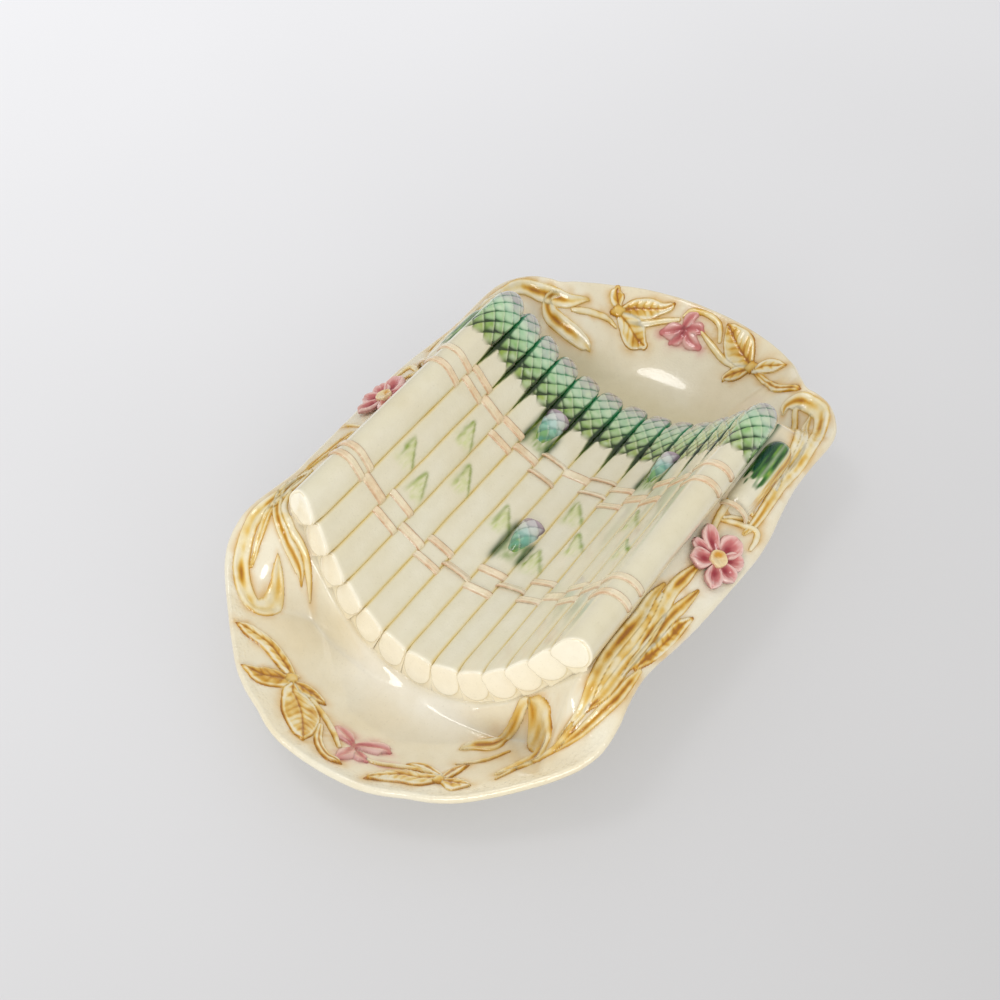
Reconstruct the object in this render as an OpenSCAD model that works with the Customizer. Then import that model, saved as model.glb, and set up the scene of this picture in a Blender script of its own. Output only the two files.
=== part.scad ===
// Asparagus plate: an oval dish with a well at each end and a raised cradle between them, moulded
// as a bed of asparagus spears tied with withies, with flowers, leaves and reeds along the rim.
// The spears lie along X with their cut ends at minus X, Z is up and the plate stands on Z = 0.

/* [Overall] */
// length over the two end lobes
plate_length = 387.3; // [384:0.1:390]
// width over the two sides
plate_width = 237.6; // [236:0.1:240]
// height of the rim at the middle of a side
rim_height = 52.5; // [51:0.5:54]
// thickness of the dish wall
wall = 5; // [4:0.25:6]

/* [Wells] */
// height of the well floor above the table
floor_height = 7.5; // [7:0.25:8]
// how far in from the rim the wall of a well reaches
wall_run = 50; // [44:1:56]
// height of the foot ring under the well floor
foot_height = 2.5; // [2:0.25:3]
// half the length of the foot ring
foot_reach = 142; // [134:1:146]
// half the width of the foot ring
foot_half_width = 38; // [32:1:42]
// width of the foot ring's tread
foot_tread = 6; // [4:0.5:8]

/* [Spears] */
// radius of a spear
spear_radius = 9.2; // [9:0.05:9.4]
// distance between the axes of neighbouring spears
spear_pitch = 17.4; // [17.2:0.05:17.6]
// height of the middle spear's axis above the table
spear_height = 18; // [17.75:0.25:18.5]
// x of the cut ends at the edge of the bed
butt_reach = 98.5; // [97:0.5:100]
// how far the middle cut end stands out beyond that
butt_bow = 11.6; // [10:0.2:13]
// how far the foot of a cut end stands out from its upper edge
butt_foot = 4.6; // [3:0.2:5]
// x of the tips at the edge of the bed
tip_reach = 105.3; // [103:0.5:107]
// how far the middle tip stands out beyond that
tip_bow = 7.7; // [6:0.2:9]
// half width of the bed at which both bows are measured
bow_half_width = 69.4; // [68:0.2:71]
// length of the scaly head
head_length = 46; // [40:1:52]
// length of the rounded nose of a head
nose_length = 13; // [10:0.5:16]
// depth of the step at each row of scales
scale_step = 0.7; // [0.4:0.1:1]
// radius of the two outer spears that lie on the flanks
flank_radius = 8.7; // [8:0.1:9]
// y of a flank spear's axis
flank_y = 96; // [95.5:0.25:96.5]
// height of a flank spear's axis
flank_z = 59.5; // [59:0.25:60]
// x at which a flank spear comes out from behind the flower
flank_start = 28; // [26:0.5:30]

/* [Ties] */
// x of the middle of the front tie
front_tie_x = -53; // [-56:0.5:-50]
// x of the middle of the rear tie
rear_tie_x = 34; // [32:0.5:36]
// distance between the two bands of a doubled tie
tie_spread = 13.6; // [12:0.2:15]
// width of one band
tie_band = 5; // [4.5:0.1:5.5]
// how far a single band reaches along the spear
tie_single = 10.4; // [10:0.1:11]
// thickness of a band
tie_thick = 1.4; // [1:0.1:2]

/* [Buds and scales] */
// radius of a bud lying on the bed
bud_radius = 7.4; // [7:0.1:8]
// length of a bud
bud_length = 28; // [24:1:32]
// height of a bud's axis above the axis of the spear under it
bud_lift = 6.6; // [6:0.1:7]
// length of a leaf scale on a spear
bract_length = 17; // [14:1:20]
// width of a leaf scale on a spear
bract_width = 11; // [9:0.5:12]
// height of a leaf scale above the spear
bract_thick = 0.7; // [0.5:0.1:1]

/* [Flowers] */
// length of a petal from the middle of the flower
petal_length = 18.5; // [17:0.5:20]
// greatest width of a petal
petal_width = 12.5; // [11:0.5:14]
// thickness of a petal
petal_thick = 2.6; // [2:0.1:3]
// radius of the eye of a flower
eye_radius = 4.2; // [3.5:0.1:5]
// x of the two side flowers
side_flower_x = 7; // [5:0.5:9]
// distance of the side flowers from the long axis
side_flower_y = 103.25; // [103:0.25:103.75]

/* [Relief] */
// height of the leaves and stems on the rim
relief = 2.4; // [2:0.1:3]
// height of the knots where stems cross
knot_relief = 3.6; // [3:0.1:4]

/* [Hidden] */
// one piece or the whole plate

$fn = 48;
// clearance between moulded elements that lie side by side
seam = 0.2;
// clearance under a relief that lies on the curved dish
bed_gap = 0.3;
// clearance under a relief and over the foot, where the dish's face is made of flat facets
relief_gap = 0.45;
// distance over which the dish's facets are flat
facet = 3;
// size of the block that cuts a flank spear
block = 2 * plate_length;
half_length = plate_length / 2;
half_width = plate_width / 2;

// direction of the step from one spear's axis to the next, from the middle outwards, in degrees
steps = [7, 20, 34, 45, 50, 53];
axes = [for (i = 0, y = 0, z = spear_height; i <= len(steps);
    y = y + spear_pitch * cos(steps[min(i, len(steps) - 1)]),
    z = z + spear_pitch * sin(steps[min(i, len(steps) - 1)]), i = i + 1) [y, z]];
// tilt of the bed under each spear, in degrees
function tilt(i) = i == 0 ? 0 : i == len(steps) ? steps[len(steps) - 1] : (steps[i - 1] + steps[i]) / 2;
seat = spear_radius + bed_gap;
crest = [axes[6][0] + seat * sin(36), axes[6][1] - seat * cos(26)];
bed = concat([for (i = [0:5]) axes[i] + seat * [sin(tilt(i)), -cos(tilt(i))]], [crest]);

// half outline of the rim from the front lobe to the rear lobe, as shares of half the length,
// half the width and the rim height
rim_shares = [[-1, 0, 0.695], [-0.992, 0.177, 0.695], [-0.972, 0.286, 0.686], [-0.943, 0.379, 0.676],
    [-0.915, 0.48, 0.676], [-0.876, 0.581, 0.695], [-0.814, 0.694, 0.733], [-0.747, 0.804, 0.8],
    [-0.698, 0.88, 0.867], [-0.659, 0.93, 0.933], [-0.613, 0.964, 1.019], [-0.556, 0.972, 1.124],
    [-0.497, 0.958, 1.19], [-0.419, 0.943, 1.181], [-0.344, 0.945, 1.124], [-0.267, 0.96, 1.076],
    [-0.163, 0.976, 1.029], [-0.024, 0.989, 1], [0.121, 1, 0.981], [0.214, 0.993, 0.99],
    [0.301, 0.972, 1.01], [0.405, 0.953, 1.01], [0.513, 0.954, 1.01], [0.611, 0.961, 1.01],
    [0.673, 0.947, 1.029], [0.725, 0.901, 1.048], [0.766, 0.838, 1.038], [0.787, 0.766, 1.029],
    [0.794, 0.703, 1.029], [0.823, 0.652, 1.01], [0.859, 0.61, 0.943], [0.895, 0.568, 0.876],
    [0.923, 0.513, 0.838], [0.952, 0.421, 0.829], [0.978, 0.295, 0.823], [0.995, 0.152, 0.819],
    [1, 0, 0.819]];
last = len(rim_shares) - 1;
size = [half_length, half_width, rim_height];
function scaled(p) = [p[0] * size[0], p[1] * size[1], p[2] * size[2]];
function rim_knot(i) = i < 0 ? scaled([rim_shares[1][0], -rim_shares[1][1], rim_shares[1][2]])
    : i > last ? scaled([rim_shares[last - 1][0], -rim_shares[last - 1][1], rim_shares[last - 1][2]])
    : scaled(rim_shares[i]);
function spline(a, b, c, d, t) = (2 * b + (c - a) * t + (2 * a - 5 * b + 4 * c - d) * t * t
    + (3 * b - a - 3 * c + d) * t * t * t) / 2;
function rim_at(u) = let (i = min(floor(u), last - 1))
    spline(rim_knot(i - 1), rim_knot(i), rim_knot(i + 1), rim_knot(i + 2), u - i);
rim = [for (i = [0:3 * last]) rim_at(i / 3)];

// nearest point of the rim: distance and height
function closest(x, y) = let (
    d = [for (i = [0:len(rim) - 2]) let (
        a = [rim[i][0], rim[i][1]],
        v = [rim[i + 1][0], rim[i + 1][1]] - a,
        w = [x, y] - a,
        t = max(0, min(1, (w * v) / (v * v))))
        [norm(w - v * t), rim[i][2] + (rim[i + 1][2] - rim[i][2]) * t]],
    m = min([for (e = d) e[0]])) [for (e = d) if (e[0] == m) e][0];
function ease(t) = let (c = max(0, min(1, t))) c * c * (3 - 2 * c);
edge_y = 0.715 * half_width;
function bow(y) = 1 - pow(min(abs(y), edge_y) / bow_half_width, 2);
function butt_end(y) = -(butt_reach + butt_bow * bow(y));
function bed_start(y) = butt_end(y) - butt_foot;
function tip_end(y) = tip_reach + tip_bow * bow(y);
// runs of the walls below the cut ends and the tips, and how much longer they get on the flanks
butt_run = 0.08 * half_width;
tip_run = 0.05 * half_width;
long_run = 0.29 * half_width;
// height of the dish's upper face
function face(x, y) = let (
    a = abs(y), near = closest(x, a), d = near[0],
    flank = crest[1] + (near[1] - crest[1]) * (a - crest[0]) / max(a - crest[0] + d, seam),
    raised = a < crest[0] ? lookup(a, bed) : flank,
    q = max(0, 1 - d / wall_run),
    well = floor_height + (near[1] - floor_height) * (1.25 * pow(q, 1.5) - 0.25 * pow(q, 4)),
    run = (x < 0 ? butt_run : tip_run) + long_run * ease((a / half_width - 0.555) / 0.25),
    b = ease(max(bed_start(y) - x, x - tip_end(y)) / run)) raised * (1 - b) + well * b;
// height of the dish's under face: the lowest that a ball as thick as the wall can reach
function ball(x, y, share, turn) = face(x + wall * share * cos(turn), y + wall * share * sin(turn))
    - wall * sqrt(1 - share * share);
function under(x, y) = let (
    ring = [for (turn = [0:45:315]) ball(x, y, 0.8, turn)]) max(foot_height, min(concat([ball(x, y, 0, 0)],
    ring, [for (turn = [0:90:270]) ball(x, y, 1, turn)])));

// stations across the plate, as shares of the crest's y, then as shares of the flank
column_shares = [0, 0.075, 0.15, 0.223, 0.29, 0.36, 0.433, 0.495, 0.56, 0.618, 0.67, 0.72, 0.77, 0.815,
    0.86, 0.903, 0.952, 1];
flank_shares = [0.2, 0.45, 0.7, 1];
half_columns = len(column_shares) + len(flank_shares) - 1;
well_shares = [0.03, 0.07, 0.12, 0.19, 0.27, 0.36, 0.45, 0.54, 0.63, 0.72, 0.81, 0.9, 1];
bed_shares = [0, 0.03, 0.07, 0.2, 0.35, 0.5, 0.65, 0.8, 0.93, 0.97, 1];
// stations on the rim: the front corner, the butt row, the tip row and the rear corner
corner_knots = [10.5, 12.2, 22.1, 24.5];
function mix(a, b, t) = a + (b - a) * t;
function column(j, rim_y) = j < len(column_shares) ? column_shares[j] * crest[0]
    : mix(crest[0], rim_y, flank_shares[j - len(column_shares)]);
function bed_point(f, j) = let (
    r = rim_at(mix(corner_knots[1], corner_knots[2], f)), y = column(j, r[1]))
    j == half_columns ? [r[0], r[1]] : [mix(bed_start(y), tip_end(y), f), y];
function end_point(t, j, front) = let (
    inner = bed_point(front ? 0 : 1, j), share = j / half_columns,
    outer = rim_at(front ? corner_knots[0] * share : last - (last - corner_knots[3]) * share),
    edge = rim_at(front ? mix(corner_knots[1], corner_knots[0], t)
        : mix(corner_knots[2], corner_knots[3], t)))
    j == half_columns ? [edge[0], edge[1]] : mix(inner, [outer[0], outer[1]], t);
half_rows = concat(
    [for (k = [len(well_shares) - 1:-1:0]) [for (j = [0:half_columns]) end_point(well_shares[k], j, true)]],
    [for (f = bed_shares) [for (j = [0:half_columns]) bed_point(f, j)]],
    [for (t = well_shares) [for (j = [0:half_columns]) end_point(t, j, false)]]);
function both(r) = concat([for (j = [half_columns:-1:1]) [r[j][0], -r[j][1], r[j][2]]], r);
function joined(rows) = [for (r = rows) each r];

module dish() {
    tops = [for (r = half_rows) both([for (p = r) [p[0], p[1], face(p[0], p[1])]])];
    unders = [for (r = half_rows) both([for (p = r) [p[0], p[1], under(p[0], p[1])]])];
    color("ivory") grid_shell(tops, unders);
}

// closed solid between two grids of points with the same rows and columns
module grid_shell(upper, lower) {
    n = len(upper);
    m = len(upper[0]);
    k = n * m;
    quads = [for (i = [0:n - 2]) for (j = [0:m - 2]) [i * m + j, i * m + j + 1, i * m + m + j + 1,
        i * m + m + j]];
    loop = concat([for (j = [0:m - 2]) j], [for (i = [0:n - 2]) i * m + m - 1],
        [for (j = [m - 1:-1:1]) (n - 1) * m + j], [for (i = [n - 1:-1:1]) i * m]);
    e = len(loop);
    polyhedron(points = concat(joined(upper), joined(lower)), faces = concat(
        [for (q = quads) for (t = [[q[0], q[1], q[2]], [q[0], q[2], q[3]]]) t],
        [for (q = quads) for (t = [[q[0], q[2], q[1]], [q[0], q[3], q[2]]]) [for (v = t) v + k]],
        [for (i = [0:e - 1]) let (a = loop[i], b = loop[(i + 1) % e])
            for (t = [[a, b + k, b], [a, a + k, b + k]]) t]));
}

// the foot follows an oval with straight sides
foot_points = 72;
function foot_at(i, inset) = let (a = 360 * i / foot_points, c = cos(a), s = sin(a))
    [(foot_reach - inset) * sign(c) * pow(abs(c), 0.7),
    (foot_half_width - inset) * sign(s) * pow(abs(s), 0.7)];
module foot_ring() {
    n = foot_points;
    outer = [for (i = [0:n - 1]) foot_at(i, 0)];
    inner = [for (i = [0:n - 1]) foot_at(i, foot_tread)];
    level = [for (i = [0:n - 1]) let (h = min([for (p = [outer[i], inner[i]]) under(p[0], p[1])]))
        max(foot_height, h - 4 * relief_gap)];
    rings = [[for (p = outer) [p[0], p[1], 0]], [for (i = [0:n - 1]) [outer[i][0], outer[i][1], level[i]]],
        [for (i = [0:n - 1]) [inner[i][0], inner[i][1], level[i]]], [for (p = inner) [p[0], p[1], 0]]];
    color("ivory") polyhedron(points = joined(rings), faces = [for (r = [0:3]) for (i = [0:n - 1]) let (
        a = r * n + i, b = r * n + (i + 1) % n,
        c = ((r + 1) % 4) * n + (i + 1) % n, d = ((r + 1) % 4) * n + i)
        for (t = [[a, c, b], [a, d, c]]) t]);
}

// direction of step i, and the normal that points up from it
function along(i) = [cos(steps[i]), sin(steps[i])];
function normal(i) = [-sin(steps[i]), cos(steps[i])];
function midway(i) = (axes[i] + axes[i + 1]) / 2;
function flipped(p) = [-p[0], p[1]];
// corners of the space that spear i may fill across the bed, from low to high above the axes
reach = 2 * spear_radius;
function inner_side(i, low, high, gap) = let (m = i == 0 ? flipped(midway(0) - gap * along(0))
    : midway(i - 1) + gap * along(i - 1), n = i == 0 ? flipped(normal(0)) : normal(i - 1))
    [m + high * n, m + low * n];
function outer_side(i, low, high, gap) = i < len(steps)
    ? let (m = midway(i) - gap * along(i)) [m + low * normal(i), m + high * normal(i)]
    : [axes[i] + reach * (along(i - 1) - normal(i - 1)), axes[i] + reach * (along(i - 1) + normal(i - 1))];
function slot(i, low, high, gap) = concat(inner_side(i, low, high, gap), outer_side(i, low, high, gap));
// a prism along the whole plate over an outline across it
module prism(outline) {
    translate([-plate_length, 0, 0]) rotate([90, 0, 90]) linear_extrude(2 * plate_length) polygon(outline);
}

// outline of a spear from its cut end to its nose, with a step at each row of scales
scale_rows = 4;
nose_points = 8;
scale_pitch = (head_length - nose_length) / scale_rows;
function spear_outline(length, radius) = concat([[0, 0], [radius - scale_step, 0], [radius, scale_step]],
    [for (k = [0:scale_rows - 1]) let (x = length - head_length + scale_pitch * k)
        for (e = [0, 1]) [radius - scale_step * e, x + e * seam]],
    [for (k = [0:nose_points]) [radius * pow(cos(90 * k / nose_points), 0.8),
        length - nose_length + nose_length * sin(90 * k / nose_points)]]);

module lying_spear(length, radius) {
    rotate([0, 90, 0]) rotate_extrude() polygon(spear_outline(length, radius));
}

// spear number i of the bed, counted from the middle, on the left side
module spear(i, bracts = []) {
    c = axes[i];
    from = bed_start(c[0]);
    to = tip_end(c[0]);
    color("palegoldenrod") {
        intersection() {
            translate([from, c[0], c[1]]) lying_spear(to - from, spear_radius);
            prism(slot(i, -reach, reach, seam / 2));
            // the cut end leans back from its foot
            translate([from, c[0], c[1] - spear_radius]) rotate([0, atan(butt_foot / spear_radius / 2), 0])
                translate([0, -block / 2, -block / 2]) cube(block);
        }
        for (b = bracts) translate([b, c[0], c[1]]) bract(tilt(i));
    }
}

// a small leaf scale: the part of a slightly thicker rod inside a three-cornered prism
module bract(turn) {
    intersection() {
        rotate([0, 90, 0]) cylinder(r = spear_radius + bract_thick, h = bract_length - bract_thick);
        rotate([turn, 0, 0]) translate([0, 0, spear_radius / 2]) linear_extrude(spear_radius)
            polygon([[0, -bract_width / 2], [bract_length, 0], [0, bract_width / 2], [bract_thick, 0]]);
    }
}

module mirrored(side) {
    if (side < 0)
        mirror([0, 1, 0]) children();
    else
        children();
}

// angle of the flank where the outer spears and the side flowers lie
flank_angle = 26;
module above_flank(side, gap) {
    mirrored(side) translate([-block / 2, crest[0], crest[1]]) rotate([-flank_angle, 0, 0])
        translate([0, -block / 2, gap]) cube(block);
}

module flank_spear(side) {
    color("palegoldenrod") intersection() {
        translate([flank_start, side * flank_y, flank_z])
            lying_spear(tip_reach - 6 * tie_thick - flank_start, flank_radius);
        above_flank(side, bed_gap);
    }
}

// a band follows the outermost spear round to the flank
end_slot = concat(inner_side(6, 0, reach, 0), [crest + [0, tie_thick],
    crest + 2 * reach * [cos(flank_angle), -sin(flank_angle)] + [0, tie_thick], axes[6] + reach * [2, 2]]);
// one band of a tie over spear number i
module band(i, x, width) {
    c = axes[i];
    intersection() {
        translate([x - width / 2, c[0], c[1]]) rotate([0, 90, 0]) difference() {
            cylinder(r = spear_radius + tie_thick, h = width);
            translate([0, 0, -seam]) cylinder(r = spear_radius, h = width + 2 * seam);
        }
        prism(i == 6 ? end_slot : slot(i, 0, reach, 0));
    }
}

module tie_over(i, x, doubled) {
    if (doubled) {
        band(i, x - tie_spread / 2, tie_band);
        band(i, x + tie_spread / 2, tie_band);
    } else
        band(i, x, tie_single);
}

module tie(x) {
    color("tan") for (i = [-6:6]) mirrored(i < 0 ? -1 : 1) tie_over(abs(i), x, i % 2 == 0);
}

module flank_tie(side) {
    color("tan") intersection() {
        translate([rear_tie_x - tie_band / 2, side * flank_y, flank_z]) rotate([0, 90, 0]) difference() {
            cylinder(r = flank_radius + tie_thick, h = tie_band);
            translate([0, 0, -seam]) cylinder(r = flank_radius, h = tie_band + 2 * seam);
        }
        above_flank(side, bed_gap);
    }
}

// a bud is the nose of a spear lying on the bed
module bud(i, side, x) {
    c = axes[i];
    t = tilt(i);
    y = c[0] - bud_lift * sin(t);
    z = c[1] + bud_lift * cos(t);
    color("mediumaquamarine") mirrored(side) difference() {
        translate([x, y, z]) rotate([0, 90, 0]) rotate_extrude() polygon(concat([[0, 0]],
            [for (k = [0:nose_points]) let (s = k / nose_points)
                [bud_radius * (0.55 + 1.35 * s - 0.9 * s * s)
                * (k == nose_points ? 0.55 : 1), bud_length * s * 0.93]], [[0, bud_length]]));
        for (j = [max(i - 1, 0):i + 1])
            translate([-block / 2, axes[j][0], axes[j][1]]) rotate([0, 90, 0])
                cylinder(r = spear_radius + seam, h = block);
        if (i == 0)
            translate([-block / 2, -axes[1][0], axes[1][1]]) rotate([0, 90, 0])
                cylinder(r = spear_radius + seam, h = block);
    }
}

// petal outline as shares of its length and half its width
petal_shares = [[0, 0.1], [0.2, 0.45], [0.45, 0.9], [0.62, 1], [0.78, 0.86], [0.9, 0.5], [1, 0],
    [0.9, -0.5], [0.78, -0.86], [0.62, -1], [0.45, -0.9], [0.2, -0.45], [0, -0.1]];
petals = 7;
module on_flank(side) {
    translate([side_flower_x, side * side_flower_y,
        crest[1] - (side_flower_y - crest[0]) * tan(flank_angle)])
        rotate([-side * flank_angle, 0, 0]) translate([0, 0, bed_gap + seam]) children();
}
module side_flower(side) {
    color("palevioletred") difference() {
        petal_ring(side);
        translate([-block / 2, side * axes[6][0], axes[6][1]]) rotate([0, 90, 0])
            cylinder(r = spear_radius + seam, h = block);
    }
}
module petal_ring(side) {
    on_flank(side) difference() {
        for (k = [0:petals - 1]) rotate([0, 0, side * 360 * (k + 0.25) / petals])
            linear_extrude(petal_thick)
                polygon([for (p = petal_shares) [p[0] * petal_length, p[1] * petal_width / 2]]);
        translate([0, 0, -seam]) cylinder(r = eye_radius + seam, h = petal_thick + 2 * seam);
    }
}
module side_eye(side) {
    color("khaki") on_flank(side) rotate_extrude()
        polygon([[0, 0], [eye_radius, 0], [eye_radius, petal_thick], [eye_radius * 0.7, petal_thick * 1.4],
            [0, petal_thick * 1.6]]);
}

// a moulded strip that lies on the dish along a path of shares, with its widths and height in mm
function at_share(p) = [p[0] * half_length, p[1] * half_width, p[2]];
function path_knot(path, i) = i < 0 ? 2 * path[0] - path[1]
    : i >= len(path) ? 2 * path[len(path) - 1] - path[len(path) - 2] : path[i];
function fine_path(path, n) = let (p = [for (e = path) at_share(e)]) concat(
    [for (i = [0:len(p) - 2]) for (k = [0:n - 1])
        spline(path_knot(p, i - 1), p[i], p[i + 1], path_knot(p, i + 2), k / n)],
    [p[len(p) - 1]]);
// a point off the dish's face, along its normal
function over_face(x, y, rise) = let (f = face(x, y),
    n = [f - face(x + seam, y), f - face(x, y + seam), seam]) [x, y, f] + rise * n / norm(n);
// how far the flat facets of the dish bridge a hollow of its face, measured along the normal
function bridged(x, y) = let (f = face(x, y)) max([for (d = [[1, 0], [0, 1], [1, 1], [1, -1]] * facet)
    (face(x + d[0], y + d[1]) + face(x - d[0], y - d[1])) / 2 - f])
    * seam / norm([f - face(x + seam, y), f - face(x, y + seam), seam]);
function ring_at(p, i, height) = let (
    a = p[max(i - 1, 0)], b = p[min(i + 1, len(p) - 1)],
    v = [b[0] - a[0], b[1] - a[1]], s = [-v[1], v[0]] / norm(v),
    w = p[i][2], x = p[i][0], y = p[i][1],
    under = relief_gap * (1 + max(0, min(2, 1.35 * bridged(x, y)))),
    h = under + height * min(1, 0.35 + w / height / 2), shoulder = (under + 2 * h) / 3)
    [over_face(x + s[0] * w, y + s[1] * w, under), over_face(x, y, under),
    over_face(x - s[0] * w, y - s[1] * w, under),
    over_face(x - s[0] * w * 0.75, y - s[1] * w * 0.75, shoulder), over_face(x, y, h),
    over_face(x + s[0] * w * 0.75, y + s[1] * w * 0.75, shoulder)];
module strip(path, height, between = 2) {
    p = fine_path(path, between);
    n = len(p);
    rings = [for (i = [0:n - 1]) ring_at(p, i, height)];
    polyhedron(points = joined(rings), faces = concat([[5, 4, 1, 0], [4, 3, 2, 1]],
        [[0, 1, 4, 5] + 6 * (n - 1) * [1, 1, 1, 1], [1, 2, 3, 4] + 6 * (n - 1) * [1, 1, 1, 1]],
        [for (i = [0:n - 2]) for (k = [0:5]) let (
            a = i * 6 + k, b = i * 6 + (k + 1) % 6, c = b + 6, d = a + 6)
            for (t = [[a, b, c], [a, c, d]]) t]));
}
// the leaves, stems, reeds and flowers of the rim: each stroke is a path with its half widths
module flower_front() {
    color("palevioletred") {
        strip([[-0.857, -0.001, 1.6], [-0.844, 0.053, 4.6], [-0.836, 0.102, 2.2]], relief, 2);
        strip([[-0.863, -0.02, 1.6], [-0.838, -0.059, 5], [-0.817, -0.105, 5.4], [-0.815, -0.138,
            1.4]], relief, 2);
        strip([[-0.875, -0.025, 1.6], [-0.906, -0.036, 4.8], [-0.936, -0.037, 2]], relief, 2);
        strip([[-0.878, -0.04, 1.2], [-0.891, -0.088, 3.6], [-0.893, -0.123, 1.2]], relief, 2);
        strip([[-0.886, -0.113, 1.1], [-0.875, -0.165, 1.5], [-0.86, -0.206, 1.1]], relief, 2);
    }
}

module flower_rear() {
    color("palevioletred") {
        strip([[0.922, 0.086, 1.6], [0.936, 0.082, 2.6], [0.946, 0.077, 1.2]], relief, 2);
        strip([[0.92, 0.081, 1.6], [0.903, 0.134, 4.6], [0.889, 0.179, 1.6]], relief, 2);
        strip([[0.913, 0.062, 1.6], [0.9, 0.024, 4.2], [0.893, -0.035, 1.6]], relief, 2);
        strip([[0.911, 0.072, 1.2], [0.892, 0.088, 3.4], [0.875, 0.116, 1.2]], relief, 2);
        strip([[0.926, 0.064, 1.2], [0.933, 0.013, 3.6], [0.929, -0.02, 1.2]], relief, 2);
    }
}

module leaves_front_left() {
    color("goldenrod") {
        strip([[-0.782, 0.424, 2.9], [-0.766, 0.492, 4.3], [-0.755, 0.577, 4.6], [-0.767, 0.664,
            4.2], [-0.777, 0.711, 0.5]], relief, 3);
        strip([[-0.797, 0.412, 1.4], [-0.815, 0.428, 5.7], [-0.85, 0.477, 6.4], [-0.861, 0.522,
            3.4], [-0.868, 0.561, 0.5]], relief, 2);
        strip([[-0.798, 0.384, 2.2], [-0.792, 0.344, 4.6], [-0.791, 0.28, 3.6], [-0.79, 0.235,
            0.9]], relief, 2);
        strip([[-0.797, 0.393, 0.7], [-0.828, 0.355, 4.7], [-0.842, 0.316, 7.2], [-0.876, 0.24,
            9.2], [-0.928, 0.16, 5.1], [-0.949, 0.129, 0.9]], relief, 3);
        strip([[-0.804, 0.286, 1.4], [-0.808, 0.27, 1.5], [-0.824, 0.196, 1.7], [-0.846, 0.13,
            1.2]], relief, 3);
        strip([[-0.865, 0.156, 1.6], [-0.922, 0.086, 2.2], [-0.952, 0.008, 2.2], [-0.951, -0.04,
            2.3], [-0.951, -0.074, 0.5]], relief, 3);
        strip([[-0.809, 0.412, 1.5], [-0.791, 0.41, 3.6], [-0.774, 0.407, 1.5]], knot_relief, 2);
    }
}

module leaves_front_right() {
    color("goldenrod") {
        strip([[-0.837, -0.415, 3.4], [-0.868, -0.36, 6.1], [-0.886, -0.29, 6.3], [-0.928, -0.223,
            3.7], [-0.956, -0.197, 0.5]], relief, 3);
        strip([[-0.822, -0.407, 2.1], [-0.813, -0.311, 3], [-0.83, -0.253, 1]], relief, 3);
        strip([[-0.834, -0.434, 2], [-0.785, -0.435, 3.2], [-0.759, -0.444, 2.1], [-0.74, -0.458,
            0.5]], relief, 3);
        strip([[-0.843, -0.444, 2], [-0.836, -0.496, 6.1], [-0.826, -0.548, 2.3], [-0.823, -0.559,
            0.5]], relief, 2);
        strip([[-0.855, -0.418, 1.5], [-0.843, -0.429, 3.4], [-0.832, -0.44, 1.5]], knot_relief,
            2);
    }
}

module leaves_rear_left() {
    color("goldenrod") {
        strip([[0.876, 0.423, 0.8], [0.888, 0.449, 4.3], [0.903, 0.471, 4.4], [0.916, 0.479, 1.8]],
            relief, 2);
        strip([[0.874, 0.418, 1.7], [0.9, 0.359, 4.7], [0.921, 0.287, 5.4], [0.938, 0.229, 3.1],
            [0.954, 0.194, 2.4], [0.963, 0.184, 1]], relief, 3);
        strip([[0.865, 0.411, 3.1], [0.858, 0.348, 6.8], [0.844, 0.285, 7], [0.838, 0.233, 2.4]],
            relief, 2);
        strip([[0.776, 0.559, 1.1], [0.81, 0.497, 1.8], [0.833, 0.444, 1.6], [0.834, 0.402, 0.9]],
            relief, 3);
        strip([[0.862, 0.37, 1.2], [0.878, 0.295, 1.7], [0.905, 0.215, 1.2]], relief, 3);
        strip([[0.856, 0.45, 1.5], [0.869, 0.428, 3.6], [0.881, 0.403, 1.5]], knot_relief, 2);
    }
}

module leaves_rear_right() {
    color("goldenrod") {
        strip([[0.971, 0.067, 1.1], [0.972, 0.038, 1.3], [0.974, -0.024, 1.5], [0.96, -0.086, 1.7],
            [0.926, -0.121, 1.3]], relief, 2);
        strip([[0.922, -0.055, 1], [0.912, -0.084, 1.6], [0.888, -0.178, 1.8], [0.876, -0.256,
            1.2]], relief, 3);
        strip([[0.89, -0.333, 2], [0.9, -0.301, 5.3], [0.92, -0.245, 8.6], [0.942, -0.19, 7.2],
            [0.962, -0.147, 4], [0.97, -0.122, 0.9]], relief, 2);
        strip([[0.877, -0.336, 1.8], [0.865, -0.285, 4.1], [0.847, -0.237, 2.7], [0.835, -0.23,
            0.5]], relief, 2);
        strip([[0.878, -0.367, 2.4], [0.891, -0.41, 4], [0.894, -0.465, 3.5], [0.896, -0.51, 0.7]],
            relief, 2);
        strip([[0.875, -0.362, 1.1], [0.848, -0.451, 1.9], [0.799, -0.549, 2.3], [0.785, -0.644,
            1.8], [0.78, -0.673, 0.5]], relief, 3);
        strip([[0.88, -0.319, 1.5], [0.884, -0.342, 3.6], [0.889, -0.364, 1.5]], knot_relief, 2);
    }
}

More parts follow.
